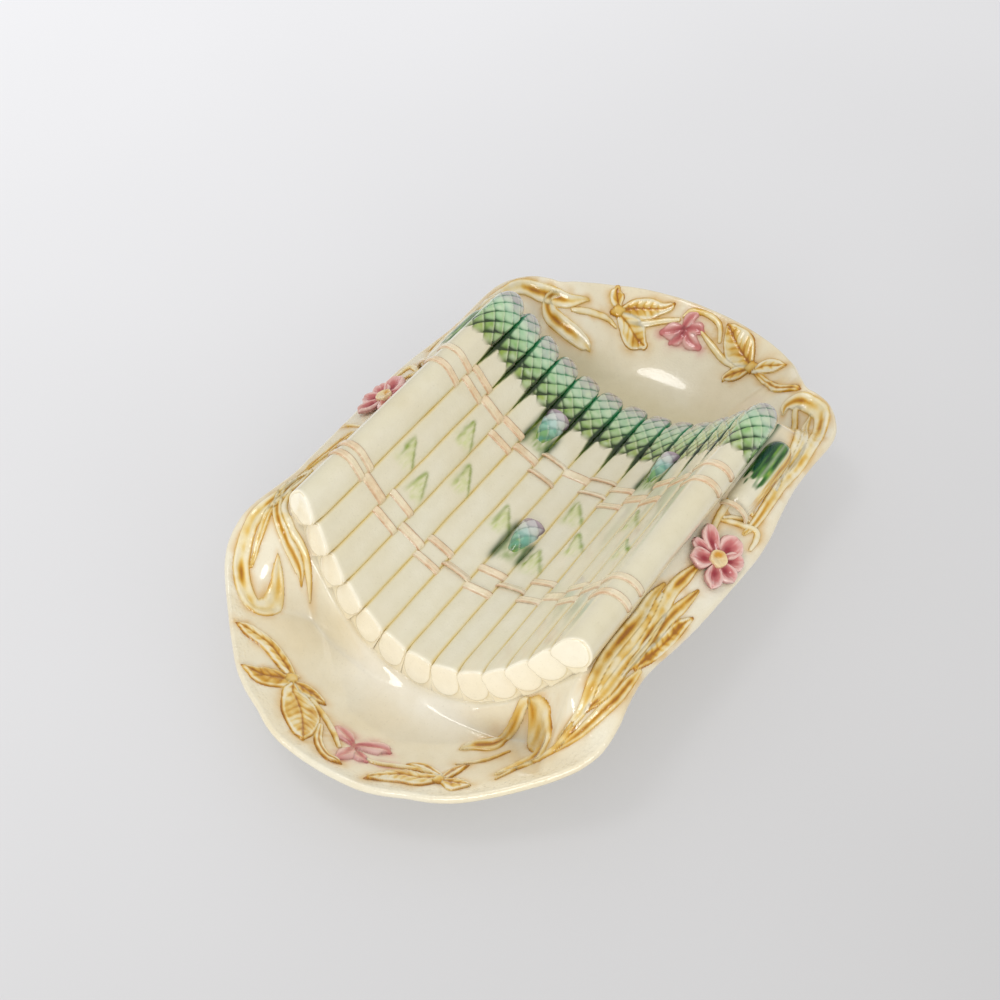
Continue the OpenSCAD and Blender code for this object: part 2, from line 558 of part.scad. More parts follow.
module reeds_front_left() {
    color("goldenrod") {
        strip([[-0.326, 0.868, 1.2], [-0.373, 0.869, 3], [-0.456, 0.88, 4], [-0.537, 0.899, 4.3],
            [-0.599, 0.886, 4.4], [-0.647, 0.854, 4.4], [-0.685, 0.786, 4.3], [-0.691, 0.725, 4.2],
            [-0.66, 0.7, 4], [-0.619, 0.705, 3.4], [-0.593, 0.721, 2.4], [-0.58, 0.731, 0.8]],
            relief, 3);
        strip([[-0.344, 0.86, 1], [-0.396, 0.876, 1.8], [-0.498, 0.858, 2.2], [-0.554, 0.837, 2.2],
            [-0.59, 0.83, 1.8], [-0.629, 0.821, 0.8]], relief, 3);
        strip([[-0.373, 0.891, 1], [-0.431, 0.892, 2.2], [-0.501, 0.826, 2.6], [-0.542, 0.739,
            2.8], [-0.55, 0.684, 2.8], [-0.556, 0.648, 2.2], [-0.565, 0.637, 0.8]], relief, 3);
        strip([[-0.423, 0.851, 1], [-0.483, 0.809, 1.8], [-0.519, 0.771, 1.2], [-0.525, 0.771,
            1.2], [-0.536, 0.633, 2], [-0.553, 0.607, 1.8], [-0.566, 0.597, 0.8]], relief, 3);
    }
}

module reeds_front_right() {
    color("goldenrod") {
        strip([[-0.14, -0.777, 1], [-0.198, -0.771, 1.2], [-0.269, -0.78, 2.3], [-0.379, -0.778,
            2], [-0.451, -0.785, 2.8], [-0.516, -0.803, 3.2], [-0.568, -0.812, 2.6], [-0.62,
            -0.768, 0.9]], relief, 3);
        strip([[-0.168, -0.794, 1], [-0.243, -0.808, 2], [-0.343, -0.824, 2.4], [-0.419, -0.823,
            2.4], [-0.49, -0.832, 1.8], [-0.529, -0.835, 0.8]], relief, 3);
        strip([[-0.072, -0.825, 1.2], [-0.084, -0.822, 3.4], [-0.145, -0.816, 3.4], [-0.243,
            -0.843, 3.2], [-0.338, -0.858, 3.2], [-0.435, -0.858, 3.2], [-0.516, -0.859, 2.8],
            [-0.566, -0.828, 1]], relief, 3);
        strip([[-0.086, -0.895, 1], [-0.155, -0.882, 3], [-0.221, -0.87, 3.2], [-0.297, -0.876, 3],
            [-0.373, -0.873, 2.2], [-0.448, -0.875, 0.8]], relief, 3);
        strip([[-0.403, -0.896, 1.5], [-0.36, -0.902, 3.4], [-0.309, -0.913, 3.8], [-0.261, -0.92,
            4], [-0.203, -0.925, 3], [-0.162, -0.942, 0.8]], relief, 3);
        strip([[-0.402, -0.915, 1.2], [-0.448, -0.912, 2.6], [-0.51, -0.909, 3], [-0.56, -0.882,
            3], [-0.593, -0.854, 2.6], [-0.626, -0.811, 1.8], [-0.649, -0.78, 0.8]], relief, 3);
        strip([[-0.691, -0.356, 0.8], [-0.664, -0.389, 3.4], [-0.633, -0.454, 4.8], [-0.595, -0.48,
            2.2], [-0.572, -0.506, 2.2], [-0.557, -0.523, 2.6], [-0.549, -0.545, 1]], relief, 3);
        strip([[-0.548, -0.547, 1], [-0.555, -0.577, 3.3], [-0.57, -0.609, 5.3], [-0.59, -0.641,
            5.5], [-0.62, -0.684, 4.2], [-0.689, -0.66, 3.9], [-0.753, -0.605, 0.8]], relief, 3);
        strip([[-0.749, -0.407, 0.8], [-0.703, -0.492, 1.3], [-0.638, -0.546, 0.8]], relief, 3);
        strip([[-0.773, -0.627, 0.7], [-0.675, -0.687, 1.6], [-0.643, -0.771, 2.2], [-0.598,
            -0.797, 2]], relief, 3);
    }
}

module reeds_rear_left() {
    color("goldenrod") {
        strip([[0.258, 0.897, 1], [0.327, 0.907, 2.2], [0.473, 0.911, 2.6], [0.585, 0.897, 3],
            [0.662, 0.894, 3.4], [0.711, 0.852, 4], [0.739, 0.768, 4.2], [0.751, 0.676, 4], [0.77,
            0.615, 3], [0.814, 0.557, 0.9]], relief, 3);
        strip([[0.258, 0.897, 1], [0.321, 0.908, 1.6], [0.441, 0.907, 1.8], [0.547, 0.897, 1.8],
            [0.635, 0.904, 0.9]], relief, 3);
        strip([[0.762, 0.669, 1], [0.748, 0.708, 2.4], [0.731, 0.717, 3.4], [0.712, 0.679, 4],
            [0.711, 0.606, 4.4], [0.718, 0.528, 4.6], [0.725, 0.471, 3.4], [0.721, 0.449, 0.9]],
            relief, 3);
    }
}

module reeds_rear_right() {
    color("goldenrod") {
        strip([[0.258, -0.909, 1], [0.303, -0.914, 3], [0.382, -0.916, 3.2], [0.455, -0.916, 3.2],
            [0.538, -0.902, 3.4], [0.634, -0.882, 3.8], [0.716, -0.84, 4], [0.747, -0.78, 4],
            [0.754, -0.699, 4], [0.741, -0.648, 3.6], [0.722, -0.646, 1]], relief, 3);
        strip([[0.743, -0.732, 0.8], [0.734, -0.696, 1.6], [0.7, -0.726, 1.8], [0.615, -0.796,
            1.8], [0.529, -0.84, 1.8], [0.449, -0.902, 1.6], [0.348, -0.897, 0.8]], relief, 3);
        strip([[0.727, -0.778, 0.8], [0.675, -0.793, 2], [0.549, -0.864, 2.4], [0.47, -0.909, 2.4],
            [0.407, -0.897, 1]], relief, 3);
    }
}

module tendril_right() {
    color("goldenrod") strip([[0.115, -0.951, 1], [0.157, -0.919, 1.3], [0.203, -0.923, 1.4],
        [0.224, -0.951, 1.4], [0.188, -0.973, 1.4], [0.126, -0.964, 1]], relief, 2);
}

module tendril_left() {
    mirror([0, 1, 0]) tendril_right();
}

dish();
foot_ring();
spear(0);  // spear_middle
spear(1, [-18]);  // spear_left_1
spear(2);  // spear_left_2
spear(3, [-16]);  // spear_left_3
spear(4, [-42, 4]);  // spear_left_4
spear(5, [-35]);  // spear_left_5
spear(6);  // spear_left_6
mirror([0, 1, 0]) spear(1, [-34, 7]);  // spear_right_1
mirror([0, 1, 0]) spear(2, [-15]);  // spear_right_2
mirror([0, 1, 0]) spear(3);  // spear_right_3
mirror([0, 1, 0]) spear(4, [1]);  // spear_right_4
mirror([0, 1, 0]) spear(5, [-28]);  // spear_right_5
mirror([0, 1, 0]) spear(6);  // spear_right_6
flank_spear(1);  // flank_spear_left
flank_spear(-1);  // flank_spear_right
tie(front_tie_x);  // front_tie
tie(rear_tie_x);  // rear_tie
flank_tie(1);  // flank_tie_left
flank_tie(-1);  // flank_tie_right
bud(0, 1, -26);  // bud_middle
bud(2, 1, 46);  // bud_left
bud(3, -1, 46);  // bud_right
side_flower(-1);  // flower_right
side_eye(-1);  // flower_right_eye
side_flower(1);  // flower_left
side_eye(1);  // flower_left_eye
flower_front();
flower_rear();
leaves_front_left();
leaves_front_right();
leaves_rear_left();
leaves_rear_right();
reeds_front_left();
reeds_front_right();
reeds_rear_left();
reeds_rear_right();
tendril_left();
tendril_right();
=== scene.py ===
import math

import bpy
import numpy as np
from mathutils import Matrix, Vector


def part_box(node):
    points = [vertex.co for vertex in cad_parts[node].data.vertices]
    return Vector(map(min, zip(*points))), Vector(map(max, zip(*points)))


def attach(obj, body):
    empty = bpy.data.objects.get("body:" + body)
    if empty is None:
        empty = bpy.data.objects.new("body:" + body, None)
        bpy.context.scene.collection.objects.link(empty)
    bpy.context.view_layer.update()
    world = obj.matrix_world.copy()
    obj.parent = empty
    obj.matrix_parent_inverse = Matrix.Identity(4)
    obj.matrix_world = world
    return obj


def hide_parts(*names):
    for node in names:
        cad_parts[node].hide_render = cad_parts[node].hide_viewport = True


# A glazed asparagus plate: cream dish, thirteen moulded spears and two more on the flanks,
# twig ties, buds, flowers, leaves and reeds. Shapes are worked out in mm and made in metres.

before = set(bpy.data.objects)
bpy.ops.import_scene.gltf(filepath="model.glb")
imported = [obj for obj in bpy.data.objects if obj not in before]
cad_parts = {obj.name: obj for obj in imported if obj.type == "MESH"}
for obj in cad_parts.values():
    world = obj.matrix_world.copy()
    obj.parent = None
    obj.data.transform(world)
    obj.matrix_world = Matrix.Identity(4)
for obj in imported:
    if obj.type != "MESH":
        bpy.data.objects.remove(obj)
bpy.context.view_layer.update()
print("frame: %d nodes" % len(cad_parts))

# ---------------------------------------------------------------- camera
cameraSettings = {
    "place": (-0.48044, -0.30085, 0.67193),
    "forward": (0.55515, 0.37587, -0.74198),
    "lens": 56.56,
    "sensor": 36.0,
}
cameraData = bpy.data.cameras.new("photoCamera")
cameraData.lens = cameraSettings["lens"]
cameraData.sensor_width = cameraSettings["sensor"]
cameraData.clip_start, cameraData.clip_end = 0.01, 30
photoCamera = bpy.data.objects.new("photoCamera", cameraData)
bpy.context.scene.collection.objects.link(photoCamera)
photoCamera.location = cameraSettings["place"]
photoCamera.rotation_mode = "QUATERNION"
photoCamera.rotation_quaternion = Vector(cameraSettings["forward"]).to_track_quat("-Z", "Y")
bpy.context.scene.camera = photoCamera


# ---------------------------------------------------------------- colour and small maths
def linear(colour):
    # 0 to 255 screen values to a linear colour
    c = np.array(colour, float) / 255
    return np.where(c <= 0.04045, c / 12.92, ((c + 0.055) / 1.055) ** 2.4)


def blend(a, b, t):
    # colours a and b (single or per point) mixed by t per point
    t = np.clip(np.asarray(t, float), 0, 1)[..., None]
    return a * (1 - t) + b * t


def layered(tint, *layers):
    # colours laid over the tint one by one, each a screen colour or linear array with its mask
    for colour, mask in layers:
        tint = blend(tint, linear(colour) if isinstance(colour, tuple) else colour, mask)
    return tint


def ease(t):
    c = np.clip(t, 0, 1)
    return c * c * (3 - 2 * c)


def bell(distance, width):
    return np.exp(-((distance / width) ** 2))


def mottle(x, y, size, seed):
    # smooth noise from 0 to 1 on a lattice of cells
    u, v = x / size, y / size
    i, j = np.floor(u).astype(np.int64), np.floor(v).astype(np.int64)
    fu, fv = ease(u - i), ease(v - j)

    def corner(a, b):
        h = (a * 374761393 + b * 668265263 + seed * 974634777) & 0xFFFFFFFF
        h = ((h ^ (h >> 13)) * 1274126177) & 0xFFFFFFFF
        return ((h ^ (h >> 16)) & 0xFFFF) / 65535.0

    top = corner(i, j) * (1 - fu) + corner(i + 1, j) * fu
    low = corner(i, j + 1) * (1 - fu) + corner(i + 1, j + 1) * fu
    return top * (1 - fv) + low * fv


def ramp(stops, t):
    # colour stops [(place, screen colour)] read at t
    places = [s[0] for s in stops]
    colours = np.array([linear(s[1]) for s in stops])
    return np.stack([np.interp(t, places, colours[:, k]) for k in range(3)], -1)


def curveBetween(a, b, c, d, t):
    # smooth curve from b to c, with a and d as the points on either side
    return (2 * b + (c - a) * t + (2 * a - 5 * b + 4 * c - d) * t * t + (3 * b - a - 3 * c + d) * t ** 3) / 2


def smoothPath(points, between):
    # a smooth line through strokes' points, with that many steps between two of them
    p = np.array(points, float)
    ends = np.vstack([2 * p[0] - p[1], p, 2 * p[-1] - p[-2]])
    made = [curveBetween(*ends[k - 1:k + 3], step / between)
            for k in range(1, len(ends) - 2) for step in range(between)]
    made = np.array(made + [p[-1]])
    made[:, 2] = np.maximum(made[:, 2], 0.3)
    return made


glazeColours = {
    "cream": (235, 229, 208),
    "creamWarm": (235, 223, 192),
    "stalk": (225, 219, 193),
    "stalkPale": (232, 227, 207),
    "groove": (226, 204, 132),
    "amberPale": (233, 216, 170),
    "amber": (214, 172, 92),
    "amberDark": (160, 102, 24),
    "pinkPale": (236, 202, 194),
    "pink": (206, 122, 120),
    "pinkDark": (158, 44, 56),
    "withy": (228, 192, 150),
    "withyDark": (182, 116, 66),
    "withyPale": (240, 229, 200),
    "leafGreen": (128, 152, 22),
    "leafPale": (196, 208, 128),
}
paint = {name: linear(value) for name, value in glazeColours.items()}


# ---------------------------------------------------------------- shape of the dish
plateShape = {
    "halfLength": 193.65,
    "halfWidth": 118.8,
    "rimHeight": 52.5,
    "spearHeight": 18.0,
    "spearPitch": 17.4,
    "spearRadius": 9.2,
    "seat": 9.5,
    "steps": (7, 20, 34, 45, 50, 53),
    "wallRun": 50.0,
    "floor": 7.5,
    "wall": 5.0,
    "footHeight": 2.5,
    "buttReach": 98.5,
    "buttBow": 11.6,
    "buttFoot": 4.6,
    "tipReach": 105.3,
    "tipBow": 7.7,
    "bowHalfWidth": 69.4,
    "bowEdgeShare": 0.715,
    "flankAngle": 26.0,
    "crestTurn": 36.0,
    "frontRunShare": 0.08,        # how far the walls of the two wells run out, and how much more beside the bed
    "rearRunShare": 0.05,
    "sideRunShare": 0.29,
    "sideStartShare": 0.555,
    "sideEaseShare": 0.25,
}
rimShares = [
    (-1, 0, 0.695), (-0.992, 0.177, 0.695), (-0.972, 0.286, 0.686), (-0.943, 0.379, 0.676),
    (-0.915, 0.48, 0.676), (-0.876, 0.581, 0.695), (-0.814, 0.694, 0.733), (-0.747, 0.804, 0.8),
    (-0.698, 0.88, 0.867), (-0.659, 0.93, 0.933), (-0.613, 0.964, 1.019), (-0.556, 0.972, 1.124),
    (-0.497, 0.958, 1.19), (-0.419, 0.943, 1.181), (-0.344, 0.945, 1.124), (-0.267, 0.96, 1.076),
    (-0.163, 0.976, 1.029), (-0.024, 0.989, 1), (0.121, 1, 0.981), (0.214, 0.993, 0.99),
    (0.301, 0.972, 1.01), (0.405, 0.953, 1.01), (0.513, 0.954, 1.01), (0.611, 0.961, 1.01),
    (0.673, 0.947, 1.029), (0.725, 0.901, 1.048), (0.766, 0.838, 1.038), (0.787, 0.766, 1.029),
    (0.794, 0.703, 1.029), (0.823, 0.652, 1.01), (0.859, 0.61, 0.943), (0.895, 0.568, 0.876),
    (0.923, 0.513, 0.838), (0.952, 0.421, 0.829), (0.978, 0.295, 0.823), (0.995, 0.152, 0.819),
    (1, 0, 0.819)]
rimKnots = np.array(rimShares) * [plateShape[name] for name in ("halfLength", "halfWidth", "rimHeight")]
lastKnot = len(rimKnots) - 1
mirroredKnots = np.vstack([rimKnots[1] * [1, -1, 1], rimKnots, rimKnots[-2] * [1, -1, 1]])


def rimAt(u):
    # point of the half rim at knot number u
    u = np.asarray(u, float)
    i = np.minimum(np.floor(u).astype(int), lastKnot - 1)
    return curveBetween(*(mirroredKnots[i + k] for k in range(4)), (u - i)[..., None])


rimLine = rimAt(np.arange(3 * lastKnot + 1) / 3)


def closestRim(x, y):
    # distance to the rim and the rim's height there
    a = np.abs(y)
    best = np.full(np.shape(x), 1e9)
    height = np.zeros(np.shape(x))
    for p, q in zip(rimLine[:-1], rimLine[1:]):
        vx, vy = q[0] - p[0], q[1] - p[1]
        t = np.clip(((x - p[0]) * vx + (a - p[1]) * vy) / (vx * vx + vy * vy), 0, 1)
        d = np.hypot(x - p[0] - vx * t, a - p[1] - vy * t)
        near = d < best
        best = np.where(near, d, best)
        height = np.where(near, p[2] + (q[2] - p[2]) * t, height)
    return best, height


def radians(degrees):
    return degrees * math.pi / 180


axes = [(0.0, plateShape["spearHeight"])]
for turn in plateShape["steps"]:
    axes.append((axes[-1][0] + plateShape["spearPitch"] * math.cos(radians(turn)),
                 axes[-1][1] + plateShape["spearPitch"] * math.sin(radians(turn))))


def tilt(i):
    s = plateShape["steps"]
    return 0 if i == 0 else s[-1] if i == len(s) else (s[i - 1] + s[i]) / 2


crest = (axes[6][0] + plateShape["seat"] * math.sin(radians(plateShape["crestTurn"])),
         axes[6][1] - plateShape["seat"] * math.cos(radians(plateShape["flankAngle"])))
bedLine = [(axes[i][0] + plateShape["seat"] * math.sin(radians(tilt(i))),
            axes[i][1] - plateShape["seat"] * math.cos(radians(tilt(i)))) for i in range(6)] + [crest]


def bow(y):
    edge = plateShape["bowEdgeShare"] * plateShape["halfWidth"]
    return 1 - (np.minimum(np.abs(y), edge) / plateShape["bowHalfWidth"]) ** 2


def buttEnd(y):
    return -(plateShape["buttReach"] + plateShape["buttBow"] * bow(y))


def bedStart(y):
    return buttEnd(y) - plateShape["buttFoot"]


def tipEnd(y):
    return plateShape["tipReach"] + plateShape["tipBow"] * bow(y)


def exactFace(x, y):
    # height of the dish's upper face and distance to the rim
    p = plateShape
    a = np.abs(y)
    d, near = closestRim(x, y)
    flank = crest[1] + (near - crest[1]) * (a - crest[0]) / np.maximum(a - crest[0] + d, 0.2)
    raised = np.where(a < crest[0], np.interp(a, *zip(*bedLine)), flank)
    q = np.maximum(0, 1 - d / p["wallRun"])
    well = p["floor"] + (near - p["floor"]) * (1.25 * q ** 1.5 - 0.25 * q ** 4)
    beside = ease((a / p["halfWidth"] - p["sideStartShare"]) / p["sideEaseShare"])
    run = p["halfWidth"] * (np.where(x < 0, p["frontRunShare"], p["rearRunShare"]) + p["sideRunShare"] * beside)
    b = ease(np.maximum(bedStart(y) - x, x - tipEnd(y)) / run)
    return raised * (1 - b) + well * b, d


# the face is worked out once on a fine grid of the left half, and read from it everywhere
tableStep, tableReach = 0.75, (206, 132)
tableX = np.arange(-tableReach[0], tableReach[0] + tableStep, tableStep)
tableY = np.arange(0, tableReach[1] + tableStep, tableStep)
tableFace, tableRim = exactFace(*np.meshgrid(tableX, tableY, indexing="ij"))


def readTable(table, x, y):
    u = np.clip((x - tableX[0]) / tableStep, 0, len(tableX) - 1.001)
    v = np.clip(np.abs(y) / tableStep, 0, len(tableY) - 1.001)
    i, j = u.astype(int), v.astype(int)
    fu, fv = u - i, v - j
    return ((table[i, j] * (1 - fu) + table[i + 1, j] * fu) * (1 - fv)
            + (table[i, j + 1] * (1 - fu) + table[i + 1, j + 1] * fu) * fv)


def faceAt(x, y):
    return readTable(tableFace, x, y)


def rimDistance(x, y):
    return readTable(tableRim, x, y)


def faceNormal(x, y):
    reach = 1.0
    nx = faceAt(x - reach, y) - faceAt(x + reach, y)
    ny = faceAt(x, y - reach) - faceAt(x, y + reach)
    n = np.stack([nx, ny, np.full(np.shape(nx), 2 * reach)], -1)
    return n / np.linalg.norm(n, axis=-1, keepdims=True)


def underAt(x, y):
    # the lowest that a ball as thick as the wall can reach
    wall = plateShape["wall"]
    low = faceAt(x, y) - wall
    for turn in range(0, 360, 45):
        dx, dy = math.cos(radians(turn)), math.sin(radians(turn))
        low = np.minimum(low, faceAt(x + wall * 0.8 * dx, y + wall * 0.8 * dy) - wall * 0.6)
        if turn % 90 == 0:
            low = np.minimum(low, faceAt(x + wall * dx, y + wall * dy))
    return np.maximum(plateShape["footHeight"], low)


print("dish shape ready")


# ---------------------------------------------------------------- node trees
def newGroup(name, kind, takes, gives):
    # an empty group with its sockets, and the sockets to read from and to end in
    group = bpy.data.node_groups.new(name, kind)
    for label, socket, value in takes:
        made = group.interface.new_socket(name=label, in_out="INPUT", socket_type="NodeSocket" + socket)
        if value is not None:
            made.default_value = value
    for label, socket in gives:
        group.interface.new_socket(name=label, in_out="OUTPUT", socket_type="NodeSocket" + socket)
    return group, group.nodes.new("NodeGroupInput").outputs, group.nodes.new("NodeGroupOutput").inputs


def feed(tree, socket, value):
    # a socket takes a plain value or the output of another node
    if isinstance(value, bpy.types.NodeSocket):
        tree.links.new(value, socket)
    elif value is not None:
        socket.default_value = value


def node(tree, kind, inputs=None, **values):
    # a node with its settings, then its inputs by name or number
    made = tree.nodes.new(kind)
    for key, value in values.items():
        setattr(made, key, value)
    for key, value in (inputs or {}).items():
        feed(tree, made.inputs[key], value)
    return made


def maths(tree, operation, first, second=None, clamp=False):
    return node(tree, "ShaderNodeMath", {0: first, 1: second}, operation=operation, use_clamp=clamp).outputs[0]


def mixColour(tree, factor, first, second, mode="MIX"):
    made = node(tree, "ShaderNodeMix", {"Factor": factor}, data_type="RGBA", blend_type=mode)
    for socket, value in zip([s for s in made.inputs if s.type == "RGBA"], (first, second)):
        plain = isinstance(value, (tuple, np.ndarray))
        feed(tree, socket, (*value[:3], 1) if plain else value)
    return [s for s in made.outputs if s.type == "RGBA"][0]


def noise(tree, place, scale, detail=2.0, roughness=0.5, distortion=0.0):
    inputs = {"Vector": place, "Scale": scale, "Detail": detail, "Roughness": roughness, "Distortion": distortion}
    return node(tree, "ShaderNodeTexNoise", inputs).outputs["Fac"]


def span(tree, value, low, high, start=0.0, end=1.0):
    inputs = {"Value": value, "From Min": low, "From Max": high, "To Min": start, "To Max": end}
    return node(tree, "ShaderNodeMapRange", inputs, clamp=True).outputs["Result"]


# ---------------------------------------------------------------- glazes
glossSettings = {
    "wideScale": 17, "fineScale": 140, "gritScale": 900, "speckScale": 42, "speckSize": 0.035,
    "waveScale": 55, "pitScale": 700, "smearScale": 28, "dotScale": 520, "dotSize": 0.55,
    "warmTint": (232, 208, 150), "cloudTint": (205, 196, 160), "gritTint": (120, 105, 70),
    "speckTint": (120, 92, 62), "gritShare": 0.12, "speckShare": 0.5,
    "shader": {"IOR": 1.5, "Coat Weight": 1.0, "Coat Roughness": 0.04, "Coat IOR": 1.5},
    "bump": {"Strength": 0.35, "Distance": 0.0006},
}
# cloudy depth of the glaze: warm drifts, fine bubbles and a few iron specks
drift, driftIn, driftOut = newGroup("glazeDrift", "ShaderNodeTree", [
    ("Color", "Color", (1, 1, 1, 1)), ("Place", "Vector", None), ("Warm", "Float", 0.25), ("Cloud", "Float", 0.1),
    ("Specks", "Float", 1.0)], [("Color", "Color")])
gloss = glossSettings
wide = noise(drift, driftIn["Place"], gloss["wideScale"], 3, 0.55, 0.4)
fine = noise(drift, driftIn["Place"], gloss["fineScale"], 4, 0.6)
grit = noise(drift, driftIn["Place"], gloss["gritScale"])
warmMask = maths(drift, "MULTIPLY", span(drift, wide, 0.35, 0.7), driftIn["Warm"])
cloudMask = maths(drift, "MULTIPLY", span(drift, fine, 0.4, 0.75), driftIn["Cloud"])
gritMask = span(drift, grit, 0.62, 0.78, 0, gloss["gritShare"])
coloured = driftIn["Color"]
for mask, label in ((warmMask, "warmTint"), (cloudMask, "cloudTint"), (gritMask, "gritTint")):
    coloured = mixColour(drift, mask, coloured, linear(gloss[label]), "MULTIPLY")
cells = node(drift, "ShaderNodeTexVoronoi", {"Vector": driftIn["Place"], "Scale": gloss["speckScale"]}, feature="F1")
chosen = node(drift, "ShaderNodeSeparateColor", {"Color": cells.outputs["Color"]}).outputs[0]
speckSize = maths(drift, "MULTIPLY", span(drift, chosen, 0.8, 1.0), gloss["speckSize"])
speck = maths(drift, "MULTIPLY", maths(drift, "LESS_THAN", cells.outputs["Distance"], speckSize), driftIn["Specks"])
specked = mixColour(drift, maths(drift, "MULTIPLY", speck, gloss["speckShare"]), coloured, linear(gloss["speckTint"]))
feed(drift, driftOut["Color"], specked)

# soft waviness of a fired glaze, with fine pinholes
skin, skinIn, skinOut = newGroup("glazeSkin", "ShaderNodeTree", [
    ("Place", "Vector", None), ("Wave", "Float", 0.35), ("Pits", "Float", 0.15), ("Rough", "Float", 0.16)],
    [("Height", "Float"), ("Roughness", "Float")])
wave = noise(skin, skinIn["Place"], gloss["waveScale"], 3)
pits = span(skin, noise(skin, skinIn["Place"], gloss["pitScale"]), 0.3, 0.6)
smear = span(skin, noise(skin, skinIn["Place"], gloss["smearScale"], 3, 0.6), 0.3, 0.7, 0.75, 1.3)
feed(skin, skinOut["Height"], maths(skin, "ADD", maths(skin, "MULTIPLY", wave, skinIn["Wave"]),
                                    maths(skin, "MULTIPLY", pits, skinIn["Pits"])))
feed(skin, skinOut["Roughness"], maths(skin, "MULTIPLY", smear, skinIn["Rough"], True))


def glaze(name, warm=0.25, cloud=0.1, specks=1.0, wave=0.35, pits=0.15, rough=0.16, stipple=0.0, tint=None):
    # a glossy glaze over the painted tint of the piece, or over one tint for all of it
    material = bpy.data.materials.new(name)
    material.use_nodes = True
    tree = material.node_tree
    place = node(tree, "ShaderNodeTexCoord").outputs["Object"]
    painted = (*tint, 1) if tint is not None else \
        node(tree, "ShaderNodeAttribute", attribute_name="tint").outputs["Color"]
    drifted = node(tree, "ShaderNodeGroup", {"Color": painted, "Place": place, "Warm": warm, "Cloud": cloud,
                                             "Specks": specks}, node_tree=drift)
    skinned = node(tree, "ShaderNodeGroup", {"Place": place, "Wave": wave, "Pits": pits, "Rough": rough},
                   node_tree=skin)
    height = skinned.outputs["Height"]
    if stipple:
        dots = node(tree, "ShaderNodeTexVoronoi", {"Vector": place, "Scale": gloss["dotScale"]}, feature="F1")
        raised = span(tree, dots.outputs["Distance"], 0.0, gloss["dotSize"], 1.0, 0.0)
        where = node(tree, "ShaderNodeAttribute", attribute_name="stipple").outputs["Fac"]
        dotted = maths(tree, "MULTIPLY", maths(tree, "MULTIPLY", raised, where), stipple)
        height = maths(tree, "ADD", height, dotted)
    bump = node(tree, "ShaderNodeBump", {**gloss["bump"], "Height": height})
    shader = tree.nodes["Principled BSDF"]
    for label, value in {**gloss["shader"], "Base Color": drifted.outputs["Color"],
                         "Roughness": skinned.outputs["Roughness"], "Normal": bump.outputs["Normal"]}.items():
        feed(tree, shader.inputs[label], value)
    return material


# one glaze for each material slot
glazes = {
    "cream_glaze": glaze("creamGlaze", warm=0.22, stipple=1.4),
    "spear_glaze": glaze("spearGlaze", warm=0.2, wave=0.5),
    "withy_glaze": glaze("withyGlaze", warm=0.2, cloud=0.35, specks=0, pits=0.6, rough=0.22),
    "green_glaze": glaze("budGlaze", warm=0.1, cloud=0.15, specks=0, wave=0.4),
    "pink_glaze": glaze("pinkGlaze", warm=0.15, cloud=0.25, specks=0, pits=0.3),
    "yellow_glaze": glaze("eyeGlaze", warm=0.4, cloud=0.25, specks=0, pits=0.4),
    "amber_glaze": glaze("amberGlaze", warm=0.18, cloud=0.25, specks=0.3, pits=0.35),
}
print("glazes ready")


# ---------------------------------------------------------------- meshes
def paintMesh(mesh, tint):
    # one linear colour per point, and smooth faces
    rgba = np.ones((len(mesh.vertices), 4), np.float32)
    rgba[:, :3] = np.clip(tint, 0, 1)
    layer = mesh.color_attributes.new(name="tint", type="FLOAT_COLOR", domain="POINT")
    layer.data.foreach_set("color", rgba.ravel())
    mesh.polygons.foreach_set("use_smooth", np.ones(len(mesh.polygons), bool))
    mesh.update()


def makeMesh(name, points, faces, tint, extra=None):
    # points in mm
    mesh = bpy.data.meshes.new(name)
    mesh.from_pydata((np.asarray(points, float) * 0.001).tolist(), [], faces)
    paintMesh(mesh, tint)
    for label, values in (extra or {}).items():
        layer = mesh.attributes.new(name=label, type="FLOAT", domain="POINT")
        layer.data.foreach_set("value", np.asarray(values, np.float32))
    mesh.update()
    return mesh


def addPiece(name, mesh, slot):
    # the dressed piece takes the place of the node of the same name
    piece = bpy.data.objects.new(name, mesh)
    bpy.context.scene.collection.objects.link(piece)
    if not mesh.materials:
        mesh.materials.append(glazes[slot])
    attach(piece, "root")
    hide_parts(name)


def flipped(faces):
    return [f[::-1] for f in faces]


def gridFaces(rows, columns, closed=False):
    made = []
    for i in range(rows - 1):
        for j in range(columns if closed else columns - 1):
            k = (j + 1) % columns
            made.append((i * columns + j, i * columns + k, (i + 1) * columns + k, (i + 1) * columns + j))
    return made


def borderLoop(rows, columns):
    # the points round the edge of a grid, in order
    last = (rows - 1) * columns
    return (list(range(columns - 1)) + [i * columns + columns - 1 for i in range(rows - 1)]
            + list(range(last + columns - 1, last, -1)) + [i * columns for i in range(rows - 1, 0, -1)])


def tubeMesh(name, grid, poles, tint, reverse=True):
    # a closed form: a grid of points from end to end and round it, and a pole at each end
    rows, columns = grid.shape[:2]
    last = (rows - 1) * columns
    pole = rows * columns
    faces = gridFaces(rows, columns, True)
    faces += [(pole, (j + 1) % columns, j) for j in range(columns)]
    faces += [(pole + 1, last + j, last + (j + 1) % columns) for j in range(columns)]
    colours = np.vstack([tint.reshape(-1, 3), tint[0, :1], tint[-1, :1]])
    return makeMesh(name, np.vstack([grid.reshape(-1, 3), poles]), flipped(faces) if reverse else faces, colours)


